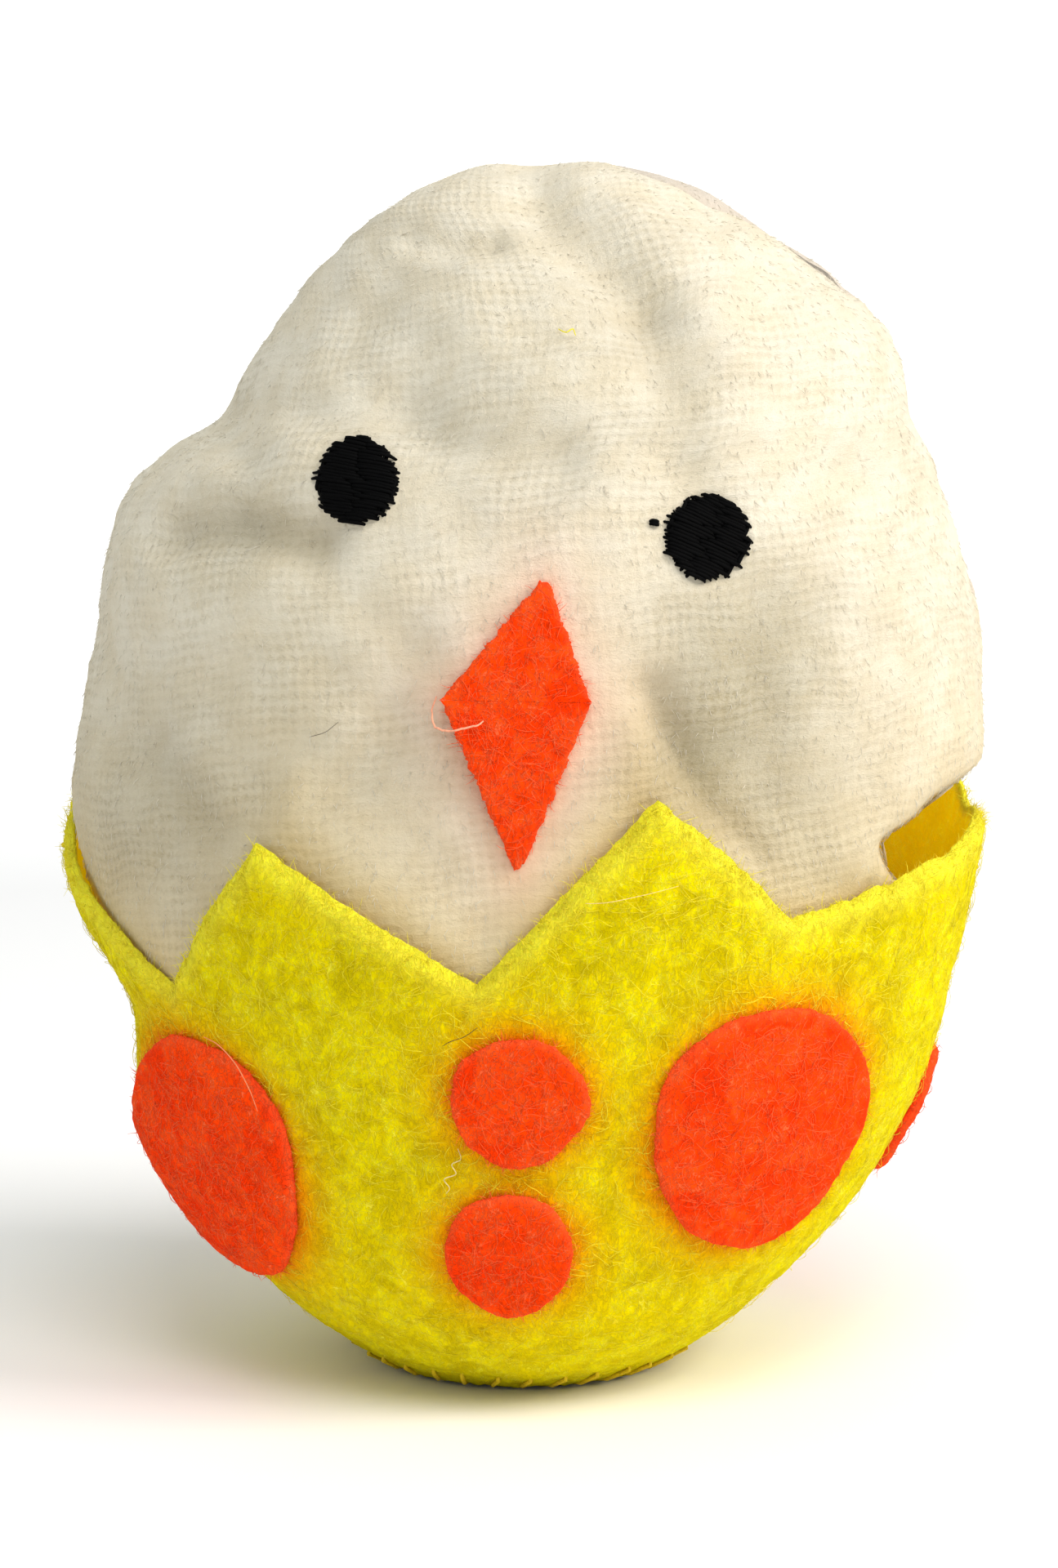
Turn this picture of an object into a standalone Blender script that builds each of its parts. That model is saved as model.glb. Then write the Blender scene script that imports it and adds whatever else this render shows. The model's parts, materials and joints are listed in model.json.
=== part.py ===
"""Stuffed chick sitting in a felt eggshell.

A loosely stuffed velour chick with embroidered eyes and a felt beak sits in a felt eggshell cup,
which has a hand-cut zigzag rim and felt dots glued round it.  Units are metres and +Z is up.  The
chick faces -Y, and the origin is the centre of the eggshell's flat base.
"""
import math

import bpy
from mathutils import Vector

MM = 0.001

# ---- driving dimensions ---------------------------------------------------------------------
TOTAL_HEIGHT = 109.5 * MM          # floor to the crown of the chick
CHICK_BOTTOM = 2.0 * MM            # underside of the chick, just above the base disc
VELOUR = 1.2 * MM                  # pile fabric with its backing
SHELL_FELT = 1.2 * MM
TRIM_FELT = 1.0 * MM               # thinner felt of the dots and the beak
GAP = 0.3 * MM                     # clearance between neighbouring pieces
SEAM_GAP = 0.8 * MM                # slot between two sewn edges, which holds the thread
THREAD_RADIUS = 0.25 * MM
STUFFING_INSET = VELOUR + 0.4 * MM

# Chick outline in mm: height, left side, right side, half depth.  It leans and is dented, so the
# two sides differ; the right side is pinched in where it stands clear of the eggshell's wall.
CHICK_ROWS = (
    (2.0, 0.0, 0.0, 0.0),
    (5.0, -13.6, 13.2, 13.5),
    (10.0, -21.8, 21.3, 20.5),
    (20.0, -30.0, 29.2, 27.5),
    (30.0, -34.8, 33.2, 30.2),
    (40.0, -37.6, 34.6, 31.8),
    (46.0, -39.2, 34.5, 32.8),
    (53.8, -41.0, 40.8, 33.6),
    (59.6, -40.3, 41.8, 34.0),
    (65.6, -38.9, 41.6, 33.8),
    (71.6, -38.0, 40.5, 33.2),
    (77.6, -36.5, 38.8, 32.0),
    (83.5, -31.4, 36.8, 30.4),
    (86.5, -27.2, 35.2, 29.3),
    (92.4, -23.2, 33.0, 26.3),
    (98.3, -19.1, 28.3, 21.8),
    (104.2, -13.6, 19.8, 14.5),
    (107.1, -7.8, 14.5, 9.8),
    (109.5, 5.0, 5.0, 0.0),
)
CHICK_SQUARENESS = 2.08            # superellipse power of the chick's level sections
CHICK_HALF_WIDTH = 41.0 * MM       # used to turn an inset into a scale
CHICK_HALF_HEIGHT = (TOTAL_HEIGHT - CHICK_BOTTOM) / 2.0
CHICK_LEVELS = 26
PANEL_STRIPS = 14                  # strips across one panel, from seam to seam

# Eggshell wall in mm: height, half width, half depth.
SHELL_ROWS = (
    (0.3, 13.9, 15.5),
    (3.6, 18.5, 21.8),
    (8.0, 24.0, 26.3),
    (13.7, 29.5, 29.2),
    (20.0, 33.6, 31.0),
    (27.0, 36.9, 32.6),
    (35.0, 39.4, 34.3),
    (44.0, 41.6, 36.0),
    (52.0, 43.0, 37.3),
    (58.0, 43.6, 38.0),
)
# Corners of the zigzag rim: azimuth in degrees (0 is the front, 90 is +X), height in mm.
RIM_CORNERS = (
    (-121.0, 39.0), (-97.0, 51.5), (-51.5, 37.0), (-32.0, 50.8), (-5.4, 39.3), (15.2, 55.1),
    (33.8, 44.2), (74.0, 51.8), (106.0, 52.4), (143.0, 41.0), (166.0, 51.5), (190.0, 38.8),
    (213.0, 52.0), (239.0, 39.0), (263.0, 51.5), (308.5, 37.0),
)
SHELL_COURSES = 8                  # rows of faces up the wall
COLUMN_STEP = 9.0                  # widest column of the wall, in degrees

BASE_HALF_WIDTH = 12.2 * MM
BASE_HALF_DEPTH = 13.8 * MM
BASE_THREAD_STAND_OFF = 0.55 * MM
BASE_THREAD_HEIGHT = 0.5 * MM

EYE_RADIUS = 3.45 * MM
EYE_RELIEF = 0.5 * MM
EYES = {"eye_left": (-13.8 * MM, 81.1 * MM), "eye_right": (15.3 * MM, 76.5 * MM)}

# Corners of the felt beak, a kite sewn down across its widest line: x, height.
BEAK_LEFT = (-6.4 * MM, 63.3 * MM)
BEAK_RIGHT = (5.5 * MM, 63.1 * MM)
BEAK_TOP = (1.8 * MM, 72.9 * MM)
BEAK_BOTTOM = (-0.3 * MM, 49.3 * MM)
BEAK_SLOT = 0.8 * MM               # slot between the halves, which holds the stitches

# Dots on the eggshell: azimuth in degrees, height of the centre in mm, half width, half height.
DOTS = {
    "dot_front_large_left": (-54.2, 21.4, 12.2, 11.8),
    "dot_front_large_right": (35.2, 26.0, 11.4, 11.3),
    "dot_front_small_upper": (-0.6, 29.6, 5.6, 5.8),
    "dot_front_small_lower": (-2.1, 16.0, 5.3, 5.8),
    "dot_side_small_right": (92.0, 22.8, 6.2, 6.4),
    "dot_side_small_left": (-108.0, 23.0, 6.0, 6.1),
    "dot_back_large": (146.0, 23.0, 11.6, 11.6),
    "dot_back_small_upper": (192.0, 28.5, 5.7, 5.7),
    "dot_back_small_lower": (193.0, 15.0, 5.5, 5.7),
}

# Colours (linear), roughness
CREAM = ((0.72, 0.66, 0.50), 0.95)
WADDING = ((0.86, 0.86, 0.84), 1.0)
PALE_THREAD = ((0.78, 0.74, 0.62), 0.7)
BLACK_THREAD = ((0.004, 0.004, 0.004), 0.55)
ORANGE_FELT = ((0.96, 0.055, 0.008), 0.95)
YELLOW_FELT = ((0.87, 0.64, 0.004), 0.95)
YELLOW_THREAD = ((0.80, 0.60, 0.02), 0.7)


# ---- small tools ----------------------------------------------------------------------------
def smooth_value(knots, values, at):
    """Value of a smooth curve through (knot, value) points, with Catmull-Rom tangents."""
    last = len(knots) - 1
    at = min(max(at, knots[0]), knots[last])
    i = 0
    while i < last - 1 and at > knots[i + 1]:
        i += 1
    span = knots[i + 1] - knots[i]
    t = (at - knots[i]) / span

    def slope(k):
        before, after = max(k - 1, 0), min(k + 1, last)
        return (values[after] - values[before]) / (knots[after] - knots[before])

    h00 = 2 * t ** 3 - 3 * t ** 2 + 1
    h10 = t ** 3 - 2 * t ** 2 + t
    h01 = -2 * t ** 3 + 3 * t ** 2
    h11 = t ** 3 - t ** 2
    return (h00 * values[i] + h10 * span * slope(i)
            + h01 * values[i + 1] + h11 * span * slope(i + 1))


def signed_power(value, power):
    return math.copysign(abs(value) ** power, value)


def make_material(name, colour, roughness):
    material = bpy.data.materials.new(name)
    material.use_nodes = True
    shader = material.node_tree.nodes["Principled BSDF"]
    shader.inputs["Base Color"].default_value = (*colour, 1.0)
    shader.inputs["Roughness"].default_value = roughness
    return material


def make_object(name, points, faces, look, smooth_angle=40.0):
    mesh = bpy.data.meshes.new(name)
    mesh.from_pydata([tuple(p) for p in points], [], faces)
    mesh.validate()
    mesh.shade_smooth()
    mesh.set_sharp_from_angle(angle=math.radians(smooth_angle))
    mesh.materials.append(make_material(name + "_look", *look))
    obj = bpy.data.objects.new(name, mesh)
    bpy.context.collection.objects.link(obj)
    return obj


def make_thread(name, route, look, closed=False):
    """A round thread along a list of points."""
    curve = bpy.data.curves.new(name, "CURVE")
    curve.dimensions = "3D"
    curve.bevel_depth = THREAD_RADIUS
    curve.bevel_resolution = 1
    curve.use_fill_caps = not closed
    spline = curve.splines.new("POLY")
    spline.points.add(len(route) - 1)
    for spot, place in zip(spline.points, route):
        spot.co = (*place, 1.0)
    spline.use_cyclic_u = closed
    curve.materials.append(make_material(name + "_look", *look))
    obj = bpy.data.objects.new(name, curve)
    bpy.context.collection.objects.link(obj)
    return obj


def two_layer_grid(outer, inner):
    """Points and faces of a sheet with thickness, from two equal grids of rows and columns."""
    rows, columns = len(outer), len(outer[0])
    points = [p for row in outer for p in row] + [p for row in inner for p in row]
    shift = rows * columns

    def corner(i, j, layer):
        return i * columns + j + layer * shift

    faces = []
    for i in range(rows - 1):
        for j in range(columns - 1):
            quad = (corner(i, j, 0), corner(i, j + 1, 0), corner(i + 1, j + 1, 0), corner(i + 1, j, 0))
            faces.append(quad)
            faces.append(tuple(k + shift for k in reversed(quad)))
    for j in range(columns - 1):
        faces.append((corner(0, j + 1, 0), corner(0, j, 0), corner(0, j, 1), corner(0, j + 1, 1)))
        top = rows - 1
        faces.append((corner(top, j, 0), corner(top, j + 1, 0), corner(top, j + 1, 1), corner(top, j, 1)))
    for i in range(rows - 1):
        faces.append((corner(i, 0, 0), corner(i + 1, 0, 0), corner(i + 1, 0, 1), corner(i, 0, 1)))
        side = columns - 1
        faces.append((corner(i + 1, side, 0), corner(i, side, 0), corner(i, side, 1),
                      corner(i + 1, side, 1)))
    return points, faces


def make_patch(name, boundary, place, lift, thickness, look, rings=2):
    """A flat-cut patch laid on a curved surface.

    boundary is a closed list of (u, v) points, place(u, v, lift) puts a point on the surface.
    """
    count = len(boundary)
    centre_u = sum(u for u, _ in boundary) / count
    centre_v = sum(v for _, v in boundary) / count
    points = []
    for height in (lift + thickness, lift):
        points.append(place(centre_u, centre_v, height))
        for ring in range(1, rings + 1):
            share = ring / rings
            for u, v in boundary:
                points.append(place(centre_u + (u - centre_u) * share,
                                    centre_v + (v - centre_v) * share, height))
    shift = 1 + rings * count
    faces = []
    for j in range(count):
        k = (j + 1) % count
        cells = [(0, 1 + j, 1 + k)]
        for ring in range(rings - 1):
            low, high = 1 + ring * count, 1 + (ring + 1) * count
            cells.append((low + j, high + j, high + k, low + k))
        for cell in cells:
            faces.append(cell)
            faces.append(tuple(i + shift for i in reversed(cell)))
        edge = 1 + (rings - 1) * count
        faces.append((edge + k, edge + j, edge + j + shift, edge + k + shift))
    return make_object(name, points, faces, look)


# ---- chick ----------------------------------------------------------------------------------
def level_of(height):
    """Share of the half turn from the chick's bottom pole to a height, 0 to 1."""
    share = (height - CHICK_BOTTOM) / (TOTAL_HEIGHT - CHICK_BOTTOM)
    return math.acos(1.0 - 2.0 * min(max(share, 0.0), 1.0)) / math.pi


CHICK_KNOTS = [level_of(row[0] * MM) for row in CHICK_ROWS]
CHICK_LEFT = [row[1] * MM for row in CHICK_ROWS]
CHICK_RIGHT = [row[2] * MM for row in CHICK_ROWS]
CHICK_DEPTH = [row[3] * MM for row in CHICK_ROWS]


def chick_section(level):
    """Centre, half width and half depth of the chick's outline at a level."""
    left = smooth_value(CHICK_KNOTS, CHICK_LEFT, level)
    right = smooth_value(CHICK_KNOTS, CHICK_RIGHT, level)
    depth = smooth_value(CHICK_KNOTS, CHICK_DEPTH, level)
    return (left + right) / 2.0, (right - left) / 2.0, depth


def chick_point(level, turn, inset=0.0):
    """Point on the chick, or on a copy of it set in by an amount."""
    centre, width, depth = chick_section(level)
    power = 2.0 / CHICK_SQUARENESS
    side = 1.0 - inset / CHICK_HALF_WIDTH
    tall = 1.0 - inset / CHICK_HALF_HEIGHT
    x = centre + width * signed_power(math.cos(turn), power) * side
    y = depth * signed_power(math.sin(turn), power) * side
    middle = CHICK_BOTTOM + CHICK_HALF_HEIGHT
    z = middle - CHICK_HALF_HEIGHT * math.cos(math.pi * level) * tall
    return Vector((x, y, z))


def chick_front(x, z, lift):
    """Point on the chick's front above (x, z), raised towards -Y.

    It reads the panel's own levels, so that what lies on the panel follows its facets.
    """
    spot = level_of(z) * CHICK_LEVELS
    low = min(int(spot), CHICK_LEVELS - 1)
    below, above = (chick_section(k / CHICK_LEVELS) for k in (low, low + 1))
    low_z, high_z = (chick_point(k / CHICK_LEVELS, 0.0).z for k in (low, low + 1))
    share = (z - low_z) / (high_z - low_z)
    centre, width, depth = (b + (a - b) * share for b, a in zip(below, above))
    reach = min(abs(x - centre) / width, 1.0)
    y = -depth * (1.0 - reach ** CHICK_SQUARENESS) ** (1.0 / CHICK_SQUARENESS)
    return Vector((x, y - lift, z))


def make_chick_panel(name, facing):
    """Half of the velour skin: facing is -1 for the front and 1 for the back."""
    layers = []
    for inset in (0.0, VELOUR):
        rows = []
        for i in range(CHICK_LEVELS + 1):
            row = []
            for j in range(PANEL_STRIPS + 1):
                turn = math.pi * (1.0 - j / PANEL_STRIPS) * facing
                p = chick_point(i / CHICK_LEVELS, turn, inset)
                p.y = facing * max(abs(p.y), SEAM_GAP / 2.0)
                row.append(p)
            rows.append(row if facing < 0 else row[::-1])
        layers.append(rows)
    # each pole is one point, so its row is written once and joined to the next row by a fan
    points = []
    index = []
    for rows in layers:
        layer = []
        for i, row in enumerate(rows):
            if i in (0, CHICK_LEVELS):
                points.append(row[0])
                layer.append([len(points) - 1] * len(row))
            else:
                layer.append([len(points) + j for j in range(len(row))])
                points.extend(row)
        index.append(layer)
    faces = []
    outer, inner = index
    for i in range(CHICK_LEVELS):
        for j in range(PANEL_STRIPS):
            quad = [outer[i][j], outer[i][j + 1], outer[i + 1][j + 1], outer[i + 1][j]]
            faces.append(tuple(dict.fromkeys(quad)))
            quad = [inner[i][j], inner[i + 1][j], inner[i + 1][j + 1], inner[i][j + 1]]
            faces.append(tuple(dict.fromkeys(quad)))
        last = PANEL_STRIPS
        faces.append((outer[i][0], outer[i + 1][0], inner[i + 1][0], inner[i][0]))
        faces.append((outer[i + 1][last], outer[i][last], inner[i][last], inner[i + 1][last]))
    return make_object(name, points, faces, CREAM)


def make_stuffing():
    levels, strips = CHICK_LEVELS, 2 * PANEL_STRIPS
    points = [chick_point(0.0, 0.0, STUFFING_INSET)]
    for i in range(1, levels):
        for j in range(strips):
            points.append(chick_point(i / levels, 2.0 * math.pi * j / strips, STUFFING_INSET))
    points.append(chick_point(1.0, 0.0, STUFFING_INSET))
    top = len(points) - 1
    faces = []
    for j in range(strips):
        k = (j + 1) % strips
        faces.append((0, 1 + k, 1 + j))
        high = 1 + (levels - 2) * strips
        faces.append((top, high + j, high + k))
        for i in range(levels - 2):
            low = 1 + i * strips
            faces.append((low + j, low + k, low + strips + k, low + strips + j))
    return make_object("chick_stuffing", points, faces, WADDING)


def seam_route(start, end):
    """Points on the chick's seam from one station to another, just short of both.

    Stations are the panel's levels: they start at the bottom pole, climb the left side, reach the
    crown at CHICK_LEVELS and come down the right side.
    """
    stop_short = 0.1
    stations = [start + stop_short] + list(range(start + 1, end)) + [end - stop_short]
    route = []
    for station in stations:
        station %= 2 * CHICK_LEVELS
        climbing = station < CHICK_LEVELS
        level = (station if climbing else 2 * CHICK_LEVELS - station) / CHICK_LEVELS
        place = chick_point(level, math.pi if climbing else 0.0, VELOUR / 2.0)
        place.y = 0.0
        route.append(place)
    return route


def make_chick():
    make_chick_panel("chick_front_panel", -1)
    make_chick_panel("chick_back_panel", 1)
    make_stuffing()
    # the stuffing went in through a stretch of the right side, now inside the eggshell
    closing_start, closing_end = 2 * CHICK_LEVELS - 10, 2 * CHICK_LEVELS - 5
    make_thread("chick_seam_thread",
                seam_route(closing_end - 2 * CHICK_LEVELS, closing_start), PALE_THREAD)
    make_thread("chick_closing_thread", seam_route(closing_start, closing_end), PALE_THREAD)
    for name, (x, z) in EYES.items():
        rim = [(x + EYE_RADIUS * math.cos(a), z + EYE_RADIUS * math.sin(a))
               for a in (2.0 * math.pi * i / 16 for i in range(16))]
        make_patch(name, rim, chick_front, GAP, EYE_RELIEF, BLACK_THREAD)


def edge_points(start, end, count):
    """Points from start up to but not including end."""
    return [(start[0] + (end[0] - start[0]) * i / count, start[1] + (end[1] - start[1]) * i / count)
            for i in range(count)]


def make_beak():
    half = BEAK_SLOT / 2.0
    left_up = (BEAK_LEFT[0], BEAK_LEFT[1] + half)
    right_up = (BEAK_RIGHT[0], BEAK_RIGHT[1] + half)
    left_down = (BEAK_LEFT[0], BEAK_LEFT[1] - half)
    right_down = (BEAK_RIGHT[0], BEAK_RIGHT[1] - half)
    upper = (edge_points(left_up, right_up, 6) + edge_points(right_up, BEAK_TOP, 5)
             + edge_points(BEAK_TOP, left_up, 5))
    lower = (edge_points(right_down, left_down, 6) + edge_points(left_down, BEAK_BOTTOM, 6)
             + edge_points(BEAK_BOTTOM, right_down, 6))
    make_patch("beak_upper", upper, chick_front, GAP, TRIM_FELT, ORANGE_FELT)
    make_patch("beak_lower", lower, chick_front, GAP, TRIM_FELT, ORANGE_FELT)
    inset = 0.04
    stitches = []
    for i in range(8):
        t = inset + (1.0 - 2.0 * inset) * i / 7
        stitches.append(chick_front(BEAK_LEFT[0] + (BEAK_RIGHT[0] - BEAK_LEFT[0]) * t,
                                    BEAK_LEFT[1] + (BEAK_RIGHT[1] - BEAK_LEFT[1]) * t,
                                    GAP + TRIM_FELT / 2.0))
    make_thread("beak_stitch_thread", stitches, PALE_THREAD)


# ---- eggshell -------------------------------------------------------------------------------
SHELL_ARC = [0.0]
for below, above in zip(SHELL_ROWS, SHELL_ROWS[1:]):
    SHELL_ARC.append(SHELL_ARC[-1] + math.hypot(above[1] - below[1], above[0] - below[0]) * MM)
SHELL_HEIGHTS = [row[0] * MM for row in SHELL_ROWS]
SHELL_WIDTHS = [row[1] * MM for row in SHELL_ROWS]
SHELL_DEPTHS = [row[2] * MM for row in SHELL_ROWS]


def shell_base_point(azimuth, arc):
    width = smooth_value(SHELL_ARC, SHELL_WIDTHS, arc)
    depth = smooth_value(SHELL_ARC, SHELL_DEPTHS, arc)
    height = smooth_value(SHELL_ARC, SHELL_HEIGHTS, arc)
    return Vector((width * math.sin(azimuth), -depth * math.cos(azimuth), height))


def shell_point(azimuth, arc, lift=0.0):
    """Point on the eggshell's outer face, or raised from it along its normal."""
    step = 0.2 * MM
    arc_low, arc_high = max(arc - step, 0.0), min(arc + step, SHELL_ARC[-1])
    up = shell_base_point(azimuth, arc_high) - shell_base_point(azimuth, arc_low)
    turn = shell_base_point(azimuth + 0.01, arc) - shell_base_point(azimuth - 0.01, arc)
    outward = turn.cross(up).normalized()
    return shell_base_point(azimuth, arc) + outward * lift


def arc_at_height(height):
    low, high = 0.0, SHELL_ARC[-1]
    for _ in range(30):
        middle = (low + high) / 2.0
        if smooth_value(SHELL_ARC, SHELL_HEIGHTS, middle) < height:
            low = middle
        else:
            high = middle
    return (low + high) / 2.0


def rim_height(azimuth_deg):
    """Height of the zigzag rim at an azimuth within the corners' range."""
    for (a, low), (b, high) in zip(RIM_CORNERS, RIM_CORNERS[1:]):
        if a <= azimuth_deg <= b:
            return (low + (high - low) * (azimuth_deg - a) / (b - a)) * MM
    raise ValueError("azimuth outside the rim's corners")


def wall_columns(start, end):
    """Azimuths of the wall's columns: every rim corner, and even steps between them."""
    corners = [start] + [a for a, _ in RIM_CORNERS if start < a < end] + [end]
    columns = []
    for a, b in zip(corners, corners[1:]):
        count = math.ceil((b - a) / COLUMN_STEP)
        columns += [a + (b - a) * i / count for i in range(count)]
    return columns + [end]


def make_wall_panel(name, start, end, facing):
    """One felt half of the eggshell's wall, from one side seam to the other."""
    outer, inner = [], []
    columns = wall_columns(start, end)
    tops = [arc_at_height(rim_height(a)) for a in columns]
    for i in range(SHELL_COURSES + 1):
        share = i / SHELL_COURSES
        for rows, lift in ((outer, 0.0), (inner, -SHELL_FELT)):
            row = []
            for azimuth, top in zip(columns, tops):
                p = shell_point(math.radians(azimuth), top * share, lift)
                p.y = facing * max(facing * p.y, SEAM_GAP / 2.0)
                row.append(p)
            rows.append(row)
    points, faces = two_layer_grid(outer, inner)
    return make_object(name, points, faces, YELLOW_FELT)


def make_base():
    """Flat felt disc that closes the bottom, and the thread that sews the wall to it."""
    count = 32
    disc = []
    for height in (0.0, SHELL_FELT):
        for i in range(count):
            a = 2.0 * math.pi * i / count
            disc.append(Vector((BASE_HALF_WIDTH * math.cos(a), BASE_HALF_DEPTH * math.sin(a), height)))
    faces = [tuple(reversed(range(count))), tuple(range(count, 2 * count))]
    for i in range(count):
        k = (i + 1) % count
        faces.append((i, k, k + count, i + count))
    make_object("shell_base_disc", disc, faces, YELLOW_FELT)
    ring = []
    for i in range(36):
        a = 2.0 * math.pi * i / 36
        ring.append(Vector(((BASE_HALF_WIDTH + BASE_THREAD_STAND_OFF) * math.cos(a),
                            (BASE_HALF_DEPTH + BASE_THREAD_STAND_OFF) * math.sin(a),
                            BASE_THREAD_HEIGHT)))
    make_thread("shell_base_thread", ring, YELLOW_THREAD, closed=True)


def make_side_thread(name, azimuth):
    """Thread down one side seam, between the edges of the two wall panels."""
    clear = 1.5 * MM
    top = arc_at_height(rim_height(azimuth)) - clear
    route = []
    for i in range(14):
        place = shell_point(math.radians(azimuth), clear + (top - clear) * i / 13, -SHELL_FELT / 2.0)
        place.y = 0.0
        route.append(place)
    make_thread(name, route, YELLOW_THREAD)


def flat_cut_place(azimuth, arc):
    """Place function for a patch cut flat and laid on the wall, centred at (azimuth, arc).

    A point (u, v) of the flat cut lands where the wall has those coordinates in the tangent plane.
    """
    step = 0.5 * MM
    centre = shell_point(azimuth, arc)
    across = (shell_point(azimuth + 0.02, arc) - shell_point(azimuth - 0.02, arc)).normalized()
    upward = (shell_point(azimuth, arc + step) - shell_point(azimuth, arc - step)).normalized()

    def flat(at_azimuth, at_arc):
        away = shell_point(at_azimuth, at_arc) - centre
        return away.dot(across), away.dot(upward)

    def place(u, v, lift):
        at_azimuth, at_arc = azimuth, arc
        for _ in range(8):
            here_u, here_v = flat(at_azimuth, at_arc)
            turned_u, turned_v = flat(at_azimuth + 0.01, at_arc)
            raised_u, raised_v = flat(at_azimuth, at_arc + step)
            uu, uv = (turned_u - here_u) / 0.01, (raised_u - here_u) / step
            vu, vv = (turned_v - here_v) / 0.01, (raised_v - here_v) / step
            det = uu * vv - uv * vu
            miss_u, miss_v = u - here_u, v - here_v
            at_azimuth += (miss_u * vv - uv * miss_v) / det
            at_arc += (uu * miss_v - vu * miss_u) / det
        return shell_point(at_azimuth, at_arc, lift)

    return place


def make_dot(name, azimuth, height, half_width, half_height):
    """A felt dot glued on the wall, cut by hand and so not quite round."""
    middle = arc_at_height(height * MM)
    count = 18
    wobble = 0.02
    rim = []
    for i in range(count):
        a = 2.0 * math.pi * i / count
        swell = 1.0 + wobble * math.sin(3.0 * a + azimuth)
        rim.append((half_width * MM * swell * math.cos(a), half_height * MM * swell * math.sin(a)))

    make_patch(name, rim, flat_cut_place(math.radians(azimuth), middle), GAP, TRIM_FELT,
               ORANGE_FELT)


def make_shell():
    make_wall_panel("shell_front_panel", -90.0, 90.0, -1)
    make_wall_panel("shell_back_panel", 90.0, 270.0, 1)
    make_base()
    make_side_thread("shell_side_thread_left", -90.0)
    make_side_thread("shell_side_thread_right", 90.0)
    for name, measures in DOTS.items():
        make_dot(name, *measures)


def main():
    for obj in list(bpy.data.objects):
        bpy.data.objects.remove(obj, do_unlink=True)
    make_shell()
    make_chick()
    make_beak()


main()
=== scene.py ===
import json
import math

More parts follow.
